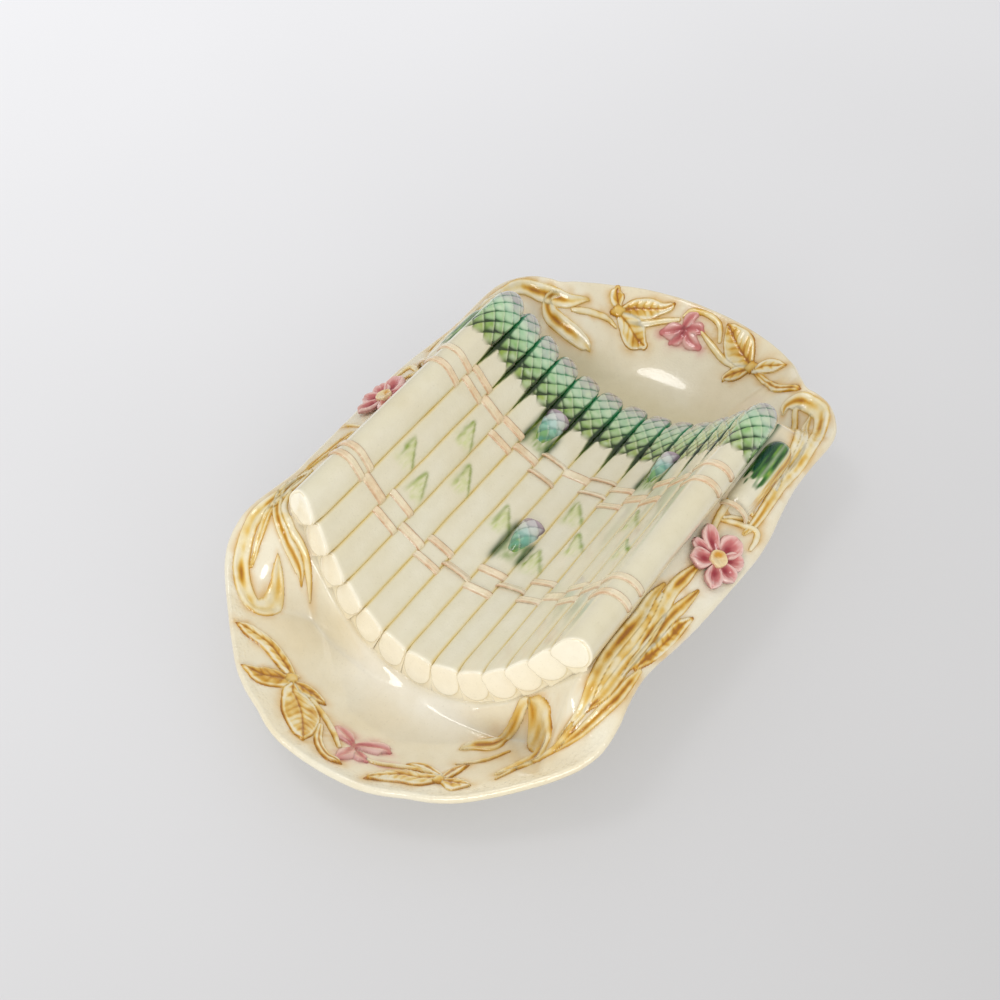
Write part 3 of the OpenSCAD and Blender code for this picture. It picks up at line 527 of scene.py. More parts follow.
# ---------------------------------------------------------------- relief on the dish
# Strokes lie on the dish: kind, then points of x, y and half width in mm. They are the
# leaves, reeds, stems and small flowers, each where it lies on the plate.
reliefStrokes = {
    "leaves_front_left": [
        ("leaf", [(-151.5, 50.4, 2.9), (-148.4, 58.5, 4.3), (-146.2, 68.6, 4.6), (-148.5, 78.9, 4.2),
            (-150.5, 84.5, 0.5)]),
        ("leaf", [(-154.3, 48.9, 1.4), (-157.8, 50.9, 5.7), (-164.6, 56.7, 6.4), (-166.7, 62, 3.4),
            (-168, 66.7, 0.5)]),
        ("leaf", [(-154.6, 45.6, 2.2), (-153.4, 40.9, 4.6), (-153.1, 33.3, 3.6), (-153, 27.9, 0.9)]),
        ("leaf", [(-154.4, 46.7, 0.7), (-160.3, 42.2, 4.7), (-163.1, 37.5, 7.2), (-169.7, 28.5, 9.2),
            (-179.7, 19, 5.1), (-183.7, 15.3, 0.9)]),
        ("stem", [(-155.7, 34, 1.4), (-156.5, 32.1, 1.5), (-159.5, 23.3, 1.7), (-165.8, 11.8, 1.7),
            (-173.4, 1.7, 1.2)]),
        ("leaf", [(-167.5, 18.5, 1.6), (-178.5, 10.2, 2.2), (-184.3, 0.9, 2.2), (-184.2, -4.7, 2.3),
            (-184.2, -8.8, 0.5)]),
        ("knot", [(-156.6, 48.9, 1.5), (-153.2, 48.7, 3.6), (-149.8, 48.4, 1.5)])],
    "flower_front": [
        ("petal", [(-166, -0.1, 1.6), (-163.5, 6.3, 4.6), (-161.8, 12.1, 2.2)]),
        ("petal", [(-167.2, -2.4, 1.6), (-162.3, -7, 5), (-158.3, -12.5, 5.4), (-157.8, -16.4, 1.4)]),
        ("petal", [(-169.4, -3, 1.6), (-175.4, -4.3, 4.8), (-181.3, -4.4, 2)]),
        ("petal", [(-170, -4.7, 1.2), (-172.5, -10.5, 3.6), (-173, -14.6, 1.2)]),
        ("stem", [(-171.6, -13.4, 1.2), (-169.4, -19.6, 1.6), (-163.9, -29.3, 1.6), (-159.9, -41.3, 1.6),
            (-159.3, -46, 1.3)])],
    "leaves_front_right": [
        ("leaf", [(-162.1, -49.3, 3.4), (-168.1, -42.8, 6.1), (-171.6, -34.4, 6.3), (-179.8, -26.5, 3.7),
            (-185.2, -23.4, 0.5)]),
        ("leaf", [(-159.2, -48.3, 2.1), (-157.4, -37, 3), (-160.7, -30.1, 1)]),
        ("leaf", [(-161.6, -51.6, 2), (-152.1, -51.7, 3.2), (-146.9, -52.8, 2.1), (-143.3, -54.4, 0.5)]),
        ("leaf", [(-163.2, -52.7, 2), (-161.9, -58.9, 6.1), (-160, -65.1, 2.3), (-159.3, -66.4, 0.5)]),
        ("knot", [(-165.5, -49.6, 1.5), (-163.3, -51, 3.4), (-161.1, -52.3, 1.5)])],
    "reeds_front_left": [
        ("reed", [(-63.1, 103.1, 1.2), (-72.2, 103.2, 3), (-88.3, 104.6, 4), (-103.9, 106.8, 4.3), (-116, 105.3, 4.4),
            (-125.3, 101.5, 4.4), (-132.7, 93.4, 4.3), (-133.9, 86.1, 4.2), (-127.8, 83.2, 4), (-119.8, 83.8, 3.4),
            (-114.9, 85.6, 2.4), (-112.3, 86.8, 0.8)]),
        ("reed", [(-66.7, 102.2, 1), (-76.7, 104.1, 1.8), (-96.4, 101.9, 2.2), (-107.3, 99.4, 2.2),
            (-114.2, 98.6, 1.8), (-121.9, 97.5, 0.8)]),
        ("reed", [(-72.3, 105.8, 1), (-83.5, 106, 2.2), (-97, 98.1, 2.6), (-104.9, 87.8, 2.8), (-106.5, 81.3, 2.8),
            (-107.6, 77, 2.2), (-109.5, 75.7, 0.8)]),
        ("reed", [(-70.5, 106.2, 0.8), (-51.5, 106.5, 1.8), (-45.7, 105.8, 2.2), (-38.2, 105.6, 2.2),
            (-26.9, 103.8, 1.6)]),
        ("stem", [(-21.7, 115.3, 0.8), (-20.3, 109.2, 1.3), (-20.7, 100.6, 0.8)]),
        ("stem", [(-82, 101.1, 1), (-93.6, 96.1, 1.8), (-100.5, 86.6, 2), (-101.7, 80.1, 2), (-103.8, 75.2, 2),
            (-107, 72.1, 1.8), (-109.6, 70.9, 0.8)])],
    "reeds_front_right": [
        ("reed", [(-27.1, -92.3, 1), (-38.3, -91.3, 2.4), (-52.1, -92.7, 3.6), (-73.4, -92.4, 3.9),
            (-87.4, -93.2, 3.6), (-99.9, -95.4, 3.2), (-110, -96.5, 2.6), (-120.1, -91.2, 0.9)]),
        ("stem", [(-32.6, -94.3, 1), (-47, -96, 2), (-66.4, -97.9, 2.4), (-81.2, -97.8, 2.4), (-94.8, -98.9, 1.8),
            (-102.4, -99.2, 0.8)]),
        ("reed", [(-5.2, -99, 1.5), (-16.2, -97.7, 3.4), (-28, -97, 3.4), (-47.1, -100.1, 3.2), (-65.4, -101.9, 3.2),
            (-84.2, -101.9, 3.2), (-100, -102.1, 2.8), (-109.7, -98.4, 1)]),
        ("reed", [(-16.6, -106.3, 1), (-30.1, -104.8, 3), (-42.7, -103.4, 3.2), (-57.6, -104.1, 3),
            (-72.3, -103.7, 2.2), (-86.8, -104, 0.8)]),
        ("leaf", [(-78, -106.5, 1.5), (-69.8, -107.1, 3.4), (-59.9, -108.5, 4), (-50.5, -109.3, 4), (-39.4, -109.9, 3),
            (-31.4, -111.9, 0.8)]),
        ("reed", [(-77.9, -108.7, 1.2), (-86.7, -108.4, 2.6), (-98.7, -108, 3), (-108.5, -104.8, 3),
            (-114.8, -101.4, 2.6), (-121.2, -96.3, 1.8), (-125.7, -92.7, 0.8)]),
        ("reed", [(-133.8, -42.3, 0.8), (-128.5, -46.2, 3.4), (-122.5, -53.9, 4.8), (-115.3, -57, 2.2),
            (-110.8, -60.1, 2.2), (-107.9, -62.1, 2.6), (-106.3, -64.7, 1)]),
        ("reed", [(-106.2, -65, 1), (-107.4, -68.5, 3.3), (-110.3, -72.4, 5.3), (-114.2, -76.1, 5.5),
            (-120.1, -81.2, 4.2), (-133.5, -78.4, 3.9), (-145.9, -71.9, 0.8)]),
        ("stem", [(-145.1, -48.3, 0.8), (-136.2, -58.5, 1.3), (-123.6, -64.9, 0.8)]),
        ("stem", [(-149.7, -74.5, 0.7), (-130.8, -81.6, 1.6), (-124.5, -91.6, 2.2), (-115.8, -94.7, 2)])],
    "leaves_rear_left": [
        ("leaf", [(169.6, 50.2, 0.8), (171.9, 53.3, 4.3), (174.8, 55.9, 4.4), (177.3, 56.9, 1.8)]),
        ("leaf", [(169.2, 49.6, 1.7), (174.3, 42.7, 4.7), (178.4, 34.1, 5.4), (181.6, 27.2, 3.1), (184.8, 23, 2.4),
            (186.4, 21.9, 1)]),
        ("leaf", [(167.6, 48.8, 3.1), (166.2, 41.3, 6.8), (163.4, 33.9, 7), (162.3, 27.7, 2.4)]),
        ("stem", [(146.5, 70.7, 1), (149.6, 66.9, 1.6), (156.9, 59, 1.8), (161.4, 52.8, 1.6), (161.5, 47.7, 0.9)]),
        ("stem", [(166.9, 43.9, 1.2), (170, 35, 1.7), (176.7, 23.7, 1.7), (181, 14.9, 1.2)]),
        ("knot", [(165.7, 53.5, 1.5), (168.2, 50.8, 3.6), (170.6, 47.9, 1.5)])],
    "flower_rear": [
        ("petal", [(178.9, 10.2, 1.6), (183.4, 8.9, 3.8), (186.4, 6.6, 2.2)]),
        ("petal", [(178.1, 9.6, 1.6), (174.8, 15.9, 4.6), (172.1, 21.3, 1.6)]),
        ("petal", [(176.8, 7.4, 1.6), (174.3, 2.9, 4.2), (173, -4.2, 1.6)]),
        ("petal", [(176.4, 8.5, 1.2), (172.8, 10.4, 3.4), (169.5, 13.8, 1.2)]),
        ("petal", [(179.3, 7.6, 1.2), (180.7, 1.6, 3.6), (179.9, -2.4, 1.2)])],
    "leaves_rear_right": [
        ("stem", [(183.5, 13.2, 1), (187.1, 10.6, 1.5), (188.6, 5.5, 1.7), (188.6, -2.8, 1.7), (185.9, -10.2, 1.7),
            (179.3, -14.4, 1.3)]),
        ("stem", [(180.4, -0.7, 1), (176.6, -10, 1.7), (171.9, -21.2, 1.8), (169.7, -30.4, 1.2)]),
        ("leaf", [(172.4, -39.6, 2), (174.3, -35.8, 5.3), (178.2, -29.1, 8.6), (182.5, -22.6, 7.2), (186.2, -17.5, 4),
            (187.8, -14.5, 0.9)]),
        ("leaf", [(169.9, -39.9, 1.8), (167.5, -33.9, 4.1), (164, -28.2, 2.7), (161.7, -27.3, 0.5)]),
        ("leaf", [(170.1, -43.6, 2.4), (172.6, -48.7, 4), (173.1, -55.2, 3.5), (173.6, -60.6, 0.7)]),
        ("leaf", [(169.5, -43, 1.1), (164.2, -53.6, 1.9), (154.7, -65.2, 2.3), (152, -76.5, 1.8), (151.1, -80, 0.5)]),
        ("knot", [(170.4, -37.9, 1.5), (171.2, -40.6, 3.6), (172.1, -43.3, 1.5)])],
    "reeds_rear_right": [
        ("reed", [(30.4, -107.2, 1), (41.6, -108.3, 2.4), (58.7, -107.6, 3), (74, -106.8, 3.2), (88.2, -108, 3.2),
            (104.1, -107.1, 3.4), (122.7, -104.8, 3.8), (138.7, -99.8, 4), (144.6, -92.7, 4), (146.1, -83.1, 4),
            (143.4, -77, 3.6), (139.9, -76.8, 1)]),
        ("stem", [(143.9, -87, 0.8), (142.1, -82.7, 1.6), (135.6, -86.3, 1.8), (119, -94.6, 1.8), (102.4, -99.8, 1.8),
            (87, -102.8, 1.6), (67.3, -106.6, 0.8)]),
        ("reed", [(140.8, -92.4, 0.8), (130.7, -94.2, 2), (106.3, -102.6, 2.4), (91, -104.5, 2.4),
            (78.8, -104.8, 1)])],
    "reeds_rear_left": [
        ("reed", [(31.7, 100.5, 0.9), (63.4, 103.7, 2.2), (91.5, 104.2, 2.6), (113.3, 106.6, 3), (128.1, 106.2, 3.4),
            (137.7, 101.2, 4), (143.2, 91.2, 4.2), (145.4, 80.3, 4), (149.1, 73.1, 3), (157.7, 66.2, 0.9)]),
        ("reed", [(24.1, 108, 0.8), (31.3, 103.3, 1.6), (41.6, 99.1, 1.6), (61.3, 99.3, 1.6), (86.1, 102.7, 0.8)]),
        ("stem", [(54.3, 110.6, 0.7), (68.3, 111.3, 1.2), (83.8, 110.4, 0.7)]),
        ("stem", [(41.4, 104.9, 0.9), (62.2, 107.9, 1.6), (85.4, 107.8, 1.8), (105.9, 106.6, 1.8),
            (122.9, 107.4, 0.9)]),
        ("reed", [(147.5, 79.5, 1), (144.9, 84.1, 2.4), (141.5, 85.2, 3.4), (137.8, 80.7, 4), (137.6, 72, 4.4),
            (139.1, 62.7, 4.6), (140.3, 56, 3.4), (139.7, 53.3, 0.9)])],
    "tendril_right": [
        ("stem", [(7.5, -98.2, 1), (20.7, -94.2, 1.8), (32.5, -92.6, 2), (42, -93, 2.1), (45.5, -96.7, 2.1),
            (45, -102, 1.8), (43.4, -104.9, 1)]),
        ("stem", [(27.3, -95.1, 1), (31, -99.4, 1.7), (34.8, -105.4, 1.9), (37.2, -110.9, 1.9), (33.1, -113.4, 1.7),
            (25.6, -113.9, 1)]),
        ("stem", [(29.6, -95, 0.8), (34.8, -99.1, 1.3), (39, -105.4, 0.9)])],
}
reliefStrokes["tendril_left"] = [(kind, [(x, -y, w) for x, y, w in path])
                                 for kind, path in reliefStrokes["tendril_right"]]

reliefSettings = {
    "step": 0.55,        # spacing of the relief's grid
    "sunk": 0.5,         # how far the skirt goes under the face
    "skirt": 1.3,        # how deep its underside lies, and how fast it falls beside a stroke
    "rimGap": 1.0,       # relief ends this far from the rim, and rises over rimFade from fadeStart
    "fadeStart": 1.2,
    "rimFade": 3.5,
    "height": {"leaf": 1.6, "reed": 1.5, "stem": 1.3, "knot": 2.7, "petal": 2.4},
    "veinSpacing": 4.6,
    "extraAmber": {"reeds_front_right": 0.15, "reeds_front_left": 0.06, "leaves_front_left": 0.05},
}


def strokePoints(strokes):
    return np.vstack([np.array(path) for _, path in strokes])


def nearBox(points, x, y, reach):
    # which x, y lie within reach of the box round the points
    low, high = points[:, :2].min(0) - reach, points[:, :2].max(0) + reach
    return (x > low[0]) & (x < high[0]) & (y > low[1]) & (y < high[1])


def strokeMeasure(path, x, y):
    # distance to the stroke's line, half width there, side and length along
    best = np.full(np.shape(x), 1e9)
    width, side, along = (np.zeros(np.shape(x)) for _ in range(3))
    length = 0.0
    for p, q in zip(path[:-1], path[1:]):
        v = q[:2] - p[:2]
        size = math.hypot(*v)
        if size < 1e-6:
            continue
        t = np.clip(((x - p[0]) * v[0] + (y - p[1]) * v[1]) / size ** 2, 0, 1)
        dx, dy = x - p[0] - v[0] * t, y - p[1] - v[1] * t
        d = np.hypot(dx, dy)
        near = d < best
        best = np.where(near, d, best)
        width = np.where(near, p[2] + (q[2] - p[2]) * t, width)
        side = np.where(near, np.sign(v[0] * dy - v[1] * dx), side)
        along = np.where(near, length + size * t, along)
        length += size
    return best, width, side, along, length


amberStops = [(0.0, (239, 231, 204)), (0.25, (236, 219, 168)), (0.45, (226, 190, 100)), (0.7, (206, 150, 28)),
              (1.0, (166, 104, 4))]


def amberTone(dark):
    return ramp(amberStops, np.clip(dark, 0, 1))


def pinkTone(dark):
    dark = np.clip(dark, 0, 1)
    return blend(blend(paint["pinkPale"], paint["pink"], dark * 2), paint["pinkDark"], dark * 2 - 1)


def strokeShape(kind, path, x, y, seed, extra):
    # height over the face and painted colour of one stroke
    d, w, side, along, length = strokeMeasure(smoothPath(path, 6), x, y)
    top = reliefSettings["height"][kind]
    u, edge = d / w, (1 - d / w) * w
    full = top * np.minimum(1, 0.3 + w / (1.6 * top))
    inside = np.clip(1 - u * u, 0, 1)
    blotch = mottle(x, y, 3.1, seed) * 0.6 + mottle(x, y, 8.5, seed + 5) * 0.7
    uneven = 0.3 + 0.95 * mottle(x, y, 7.0, seed + 3)
    if kind == "leaf":
        sway = along - 0.9 * d + 1.6 * mottle(x, y, 4.5, seed + 2)
        wide = np.clip((w - 1.5) / 2.5, 0, 1)
        vein = (0.5 + 0.5 * np.cos(2 * math.pi * sway / reliefSettings["veinSpacing"])) ** 3
        height = (full * (0.7 * inside ** 0.45 + 0.3 * (1 - bell(d, 0.7)) * inside ** 0.3)
                  - 0.24 * vein * inside ** 0.5 * wide)
        dark = (0.14 + 0.8 * uneven * bell(edge - 0.1, 0.45) - 0.3 * bell(edge - 1.3, 0.5) + 0.5 * bell(d, 0.5)
                + 0.3 * vein * inside * wide + 0.8 * (blotch - 0.55) + 0.25 * bell(u, 0.5))
    elif kind == "reed":
        height = full * inside ** 0.4 * (0.76 + 0.36 * bell(u - 0.68, 0.18) - 0.4 * bell(u, 0.42))
        poolAndShade = ease((mottle(along, side * 3.0, 13.0, seed + 9) - 0.35) / 0.4)
        dark = 0.66 * uneven * bell(edge, 0.55) + (0.24 + 0.6 * poolAndShade) * bell(u, 0.36) + 0.5 * (blotch - 0.55)
    elif kind == "petal":
        height = full * (0.8 * inside ** 0.4 - 0.35 * bell(d, 1.5) * inside)
        dark = (0.1 + 0.75 * bell(d, 1.7) * (1 - along / length * 0.6)
                + 0.2 * bell(edge, 0.75) * bell(along - length, 30) + 0.3 * (blotch - 0.5))
    else:
        height = full * inside ** 0.5
        dark = 0.08 + 0.6 * u ** 3 + 0.6 * (blotch - 0.55) + (0.25 if kind == "knot" else 0)
    colour = pinkTone(dark) if kind == "petal" else amberTone(dark + extra)
    return np.where(u < 1, height, -(d - w) * reliefSettings["skirt"]), colour


def reliefField(strokes, x, y, seed, extra):
    # the highest stroke wins, with glaze pooled in the valley between two
    best = np.full(np.shape(x), -9.0)
    second = np.full(np.shape(x), -9.0)
    colour = np.zeros(np.shape(x) + (3,))
    for number, (kind, path) in enumerate(strokes):
        points = np.array(path)
        near = nearBox(points, x, y, points[:, 2].max() + 5)
        if not near.any():
            continue
        h, c = strokeShape(kind, path, x[near], y[near], seed + 17 * number, extra)
        was = best[near]
        wins = h > was
        second[near] = np.where(wins, was, np.maximum(second[near], h))
        best[near] = np.where(wins, h, was)
        colour[near] = np.where(wins[:, None], c, colour[near])
    valley = bell(best - second, 0.35) * (best > 0.1)
    return best, blend(colour, colour * 0.55, valley * 0.8)


def reliefMesh(name, strokes, seed):
    # the strokes as a closed shell on a fine grid that follows the dish
    step, sunk = reliefSettings["step"], reliefSettings["sunk"]
    every = strokePoints(strokes)
    reach = every[:, 2].max() + 2
    x, y = np.meshgrid(*(np.arange(every[:, k].min() - reach, every[:, k].max() + reach, step) for k in (0, 1)),
                       indexing="ij")
    height, colour = reliefField(strokes, x, y, seed, reliefSettings["extraAmber"].get(name, 0.0))
    fromRim = rimDistance(x, y)
    fade = ease((fromRim - reliefSettings["fadeStart"]) / reliefSettings["rimFade"])
    height = np.where(height > 0, height * fade, height)
    keep = (height > -sunk) & (fromRim > reliefSettings["rimGap"])
    cells = keep[:-1, :-1] & keep[1:, :-1] & keep[:-1, 1:] & keep[1:, 1:]
    for _ in range(6):  # no two cells meet at a corner alone
        a, b, c, d = cells[:-1, :-1], cells[1:, :-1], cells[:-1, 1:], cells[1:, 1:]
        first, other = a & d & ~b & ~c, b & c & ~a & ~d
        if not (first.any() or other.any()):
            break
        cells[1:, :-1] |= first
        cells[:-1, :-1] |= other
    used = np.zeros(x.shape, bool)
    for part in (used[:-1, :-1], used[1:, :-1], used[:-1, 1:], used[1:, 1:]):
        part |= cells
    index = -np.ones(x.shape, int)
    index[used] = np.arange(used.sum())
    px, py, h = x[used], y[used], np.maximum(height[used], -sunk)
    normal = faceNormal(px, py)
    ground = np.stack([px, py, faceAt(px, py)], -1)
    upper = ground + normal * h[:, None]
    lower = ground - normal * reliefSettings["skirt"]
    count = len(px)
    ci, cj = np.nonzero(cells)
    quads = np.stack([index[ci, cj], index[ci + 1, cj], index[ci + 1, cj + 1], index[ci, cj + 1]], -1)
    faces = quads.tolist() + (quads[:, ::-1] + count).tolist()
    padded = np.pad(cells, 1)
    for di, dj, p, q in ((-1, 0, 3, 0), (1, 0, 1, 2), (0, -1, 0, 1), (0, 1, 2, 3)):
        bare = ~padded[ci + 1 + di, cj + 1 + dj]
        a, b = quads[bare, p], quads[bare, q]
        faces += np.stack([a, a + count, b + count, b], -1).tolist()
    tint = np.vstack([colour[used], colour[used]])
    return makeMesh(name, np.vstack([upper, lower]), faces, tint)


# ---------------------------------------------------------------- dish
dishSettings = {
    "columnShares": (0, 0.075, 0.15, 0.223, 0.29, 0.36, 0.433, 0.495, 0.56, 0.618, 0.67, 0.72, 0.77,
                     0.815, 0.86, 0.903, 0.952, 1),
    "flankShares": (0, 0.2, 0.45, 0.7, 1),
    "wellShares": (0, 0.03, 0.07, 0.12, 0.19, 0.27, 0.36, 0.45, 0.54, 0.63, 0.72, 0.81, 0.9, 1),
    "cornerKnots": (10.5, 12.2, 22.1, 24.5),
    "bedRows": 104,
    "lip": 2.2,
    "lipRings": 5,
    "lipReach": 11.0,
    "batch": 2000,
    "green": (34, 92, 40),       # glaze that ran down beside the flank spears
    "poolAndShade": (212, 202, 164),     # painted shade: darker cream in the deep rear well, where it lies in shade
    "paintedSheen": (250, 246, 232),     # painted sheen: paler cream under the cut ends, standing in for the light reflected there
    "greenPlace": (64, 107),
    "amberPlace": (20, 72),
    "wellShadePlace": (92, 158),
    "paintedSheenPlace": -121,
}


def subdivided(values, between):
    v = np.array(values, float)
    return np.interp(np.arange((len(v) - 1) * between + 1) / between, np.arange(len(v)), v)


def dishPlan():
    # plan of the half grid: rows from the front lobe to the rear one, columns from the middle out
    knots = dishSettings["cornerKnots"]
    bed, flank = len(dishSettings["columnShares"]) - 1, len(dishSettings["flankShares"]) - 1
    columns = np.concatenate([subdivided(np.arange(bed + 1), 3), bed + subdivided(np.arange(flank + 1), 6)[1:]])
    last = columns[-1]
    share = np.interp(np.minimum(columns, bed), np.arange(bed + 1), dishSettings["columnShares"])
    flankShare = np.interp(columns - bed, np.arange(flank + 1), dishSettings["flankShares"])

    def bedRow(f):
        r = rimAt(knots[1] + (knots[2] - knots[1]) * f)
        y = np.where(columns <= bed, share * crest[0], crest[0] + (r[1] - crest[0]) * flankShare)
        x = bedStart(y) * (1 - f) + tipEnd(y) * f
        edge = ease((columns - (bed + 1)) / 3)
        return np.stack([x * (1 - edge) + r[0] * edge, y], -1)

    def endRow(t, front):
        inner = bedRow(0 if front else 1)
        outer = rimAt(knots[0] * columns / last if front else lastKnot - (lastKnot - knots[3]) * columns / last)[:, :2]
        edge = rimAt(knots[1] + (knots[0] - knots[1]) * t if front else knots[2] + (knots[3] - knots[2]) * t)[:2]
        made = inner * (1 - t) + outer * t
        pull = np.clip(columns - (last - 1), 0, 1)[:, None]
        return made * (1 - pull) + edge * pull

    wellRows = subdivided(dishSettings["wellShares"], 6)
    rows = [endRow(t, True) for t in wellRows[:0:-1]]
    rows += [bedRow(f) for f in np.linspace(0, 1, dishSettings["bedRows"])]
    rows += [endRow(t, False) for t in wellRows[1:]]
    half = np.array(rows)
    left = half[:, :0:-1] * [1, -1]
    return np.concatenate([left, half], 1)


def rimNormals():
    # points all round the rim with smooth outward directions
    half = rimAt(np.arange(12 * lastKnot + 1) / 12)[:, :2]
    line = np.vstack([half, half[-2:0:-1] * [1, -1]])
    along = np.roll(line, -4, 0) - np.roll(line, 4, 0)
    out = np.stack([-along[:, 1], along[:, 0]], -1)
    for k in (1, 2, 4):
        out = out + np.roll(out, k, 0) + np.roll(out, -k, 0)
    out /= np.linalg.norm(out, axis=1, keepdims=True)
    return line, out * np.sign((out[0] * line[0]).sum())


def lipShift(plan):
    # the outermost points come in, so that a rounded lip ends on the rim
    line, out = rimNormals()
    flat = plan.reshape(-1, 2)
    d = rimDistance(flat[:, 0], flat[:, 1])
    reach, batch = dishSettings["lipReach"], dishSettings["batch"]
    near = np.nonzero(d < reach + 0.5)[0]
    toward = np.zeros_like(flat)
    for begin in range(0, len(near), batch):
        part = near[begin:begin + batch]
        gaps = ((flat[part, None] - line[None]) ** 2).sum(-1)
        toward[part] = out[np.argmin(gaps, 1)]
    shift = dishSettings["lip"] * np.maximum(0, 1 - d / reach) ** 1.5
    return (flat - toward * shift[:, None]).reshape(plan.shape), toward


def dishTint(x, y):
    # cream glaze with amber that ran off the relief, painted shade in the rear well and a painted sheen under the cut
    # ends
    s = dishSettings
    tint = blend(paint["cream"], paint["creamWarm"], ease((mottle(x, y, 34, 3) - 0.3) / 0.6) * 0.7)
    for number, (name, strokes) in enumerate(sorted(reliefStrokes.items())):
        near = nearBox(strokePoints(strokes), x, y, 14)
        nx, ny = x[near], y[near]
        gap = np.full(nx.shape, 99.0)
        for _, path in strokes:
            d, w, *_ = strokeMeasure(smoothPath(path, 3), nx, ny)
            gap = np.minimum(gap, d - w)
        gap = np.maximum(gap, 0)
        run = mottle(nx, ny, 5.5, 31 + number) * 0.8 + mottle(nx, ny, 14, 57 + number) * 0.6
        stain = bell(gap, 0.8) * 0.35 + bell(gap, 3.2) * 0.5 * ease((run - 0.45) / 0.5)
        tint[near] = blend(tint[near], paint["pink" if "flower" in name else "amber"], stain)
    a, rim = np.abs(y), rimDistance(x, y)
    beside = mottle(x * 0.3, a * 1.6, 2.1, 44)
    poolAndShade, green, amber = s["wellShadePlace"], s["greenPlace"], s["amberPlace"]
    return layered(
        tint,
        # painted shade: the deep floor of the rear well darker, where it lies in shade
        (s["poolAndShade"], ease((x - poolAndShade[0]) / 22) * ease((poolAndShade[1] - x) / 30) * ease((28 - faceAt(x, y)) / 14) * 0.8),
        # painted sheen: paler cream on the wall under the cut ends, where light is reflected
        (s["paintedSheen"], bell(x - s["paintedSheenPlace"], 11) * ease((50 - a) / 22) * 0.8),
        (s["green"], ease((x - green[0] - 14 * beside) / 8) * ease((green[1] - x) / 4)
         * ease((a - 79) / 2) * ease((91 - a) / 3) * 0.95),
        (paint["amber"], ease((x - amber[0]) / 8) * ease((amber[1] - x) / 8) * ease((a - 79) / 2)
         * ease((89 - a) / 3) * 0.4),
        (paint["amberPale"], bell(rim, 1.6) * 0.35 * mottle(x, y, 21, 8)))


def makeDish():
    plan, outward = lipShift(dishPlan())
    rows, columns = plan.shape[:2]
    x, y = plan[..., 0].ravel(), plan[..., 1].ravel()
    top = np.stack([x, y, faceAt(x, y)], -1)
    low = np.stack([x, y, underAt(x, y)], -1)
    count = rows * columns
    quads = gridFaces(rows, columns)
    faces = flipped(quads) + [tuple(v + count for v in q) for q in quads]
    loop = np.array(borderLoop(rows, columns))
    out = outward[loop]
    rings, points = dishSettings["lipRings"], [top, low]
    starts = [loop]
    for ring in range(1, rings + 1):
        angle = math.pi * ring / (rings + 1)
        spread = dishSettings["lip"] * math.sin(angle)
        level = (1 - math.cos(angle)) / 2
        z = top[loop, 2] * (1 - level) + low[loop, 2] * level
        starts.append(2 * count + (ring - 1) * len(loop) + np.arange(len(loop)))
        points.append(np.column_stack([top[loop, :2] + out * spread, z]))
    starts.append(loop + count)
    size = len(loop)
    for a, b in zip(starts[:-1], starts[1:]):
        for k in range(size):
            n = (k + 1) % size
            faces.append((a[k], a[n], b[n], b[k]))
    points = np.vstack(points)
    points[:, 0] = np.clip(points[:, 0], -plateShape["halfLength"], plateShape["halfLength"])
    tint = dishTint(points[:, 0], points[:, 1])
    tint[count:2 * count] = paint["cream"]
    rim = rimDistance(points[:, 0], points[:, 1])
    stipple = bell(rim - 4, 5) * ease((-100 - points[:, 0]) / 30)
    stipple += bell(rim - 5, 4) * 0.4 * ease((np.abs(points[:, 1]) - 95) / 8)
    stipple[count:2 * count] = 0
    return makeMesh("dish", points, [tuple(int(v) for v in f) for f in faces], tint, {"stipple": stipple})


addPiece("dish", makeDish(), "cream_glaze")
print("dish made")
for number, (name, strokes) in enumerate(sorted(reliefStrokes.items())):
    addPiece(name, reliefMesh(name, strokes, 101 + 40 * number), "pink_glaze" if "flower" in name else "amber_glaze")
print("relief made")


# ---------------------------------------------------------------- spears
spearSettings = {
    "headLength": 46.0,
    "noseLength": 13.0,
    "scaleAcross": 8.3,
    "scaleStretch": 1.45,
    "scaleRise": 0.8,
    "topSpan": 112,               # degrees each side that are finely divided
    "topPoints": 78,
    "lowPoints": 16,
    "stalkStep": 1.3,             # spacing of the stations along the stalk and the head
    "headStep": 0.6,
    "nosePoints": 32,
    "squareness": (3.0, 5.0),     # round sections at the ends, flatter ones between
    "fullWidth": (9.8, 10.4),
    "slotHalf": (8.85, 9.15),
    "slotPower": 16,
    "gapPlaces": (-0.34, -0.1, 0.1, 0.35, 0.7, 1.0),   # half width of the dark groove along a head
    "gapWidths": (0.0, 1.0, 2.1, 1.8, 0.9, 0.6),
    "grooveReach": 8.2,
    "leanLength": 13.0,
    "cellDepth": 10.6,            # how far below its axis a cut end reaches
    "cellReach": 13.5,
    "discRadius": 7.9,
    # the cut face: share of the radius, depth from its front, share of the way to its neighbours
    "faceShares": (0.3, 0.6, 0.85, 0.95, 1.0, 1.0, 1.0, 1.0, 1.0, 1.0, 1.0, 1.0),
    "faceDepth": (0.0, 0.0, 0.0, 0.06, 0.2, 0.45, 0.6, 0.62, 0.64, 0.7, 0.85, 1.15),
    "faceCell": (0.0, 0.0, 0.0, 0.0, 0.0, 0.03, 0.12, 0.3, 0.6, 0.88, 0.97, 1.0),
    "bractLength": 17.0,
    "bractHalf": 5.6,
}
# small leaf scales: spear number and side, then where each starts
bracts = {(1, 1): [-18], (3, 1): [-16], (4, 1): [-42, 4], (5, 1): [-35],
          (1, -1): [-34, 7], (2, -1): [-15], (4, -1): [1], (5, -1): [-28]}
# buds: spear number, side, start
budPlaces = {"bud_middle": (0, 1, -26), "bud_left": (2, 1, 46), "bud_right": (3, -1, 46)}
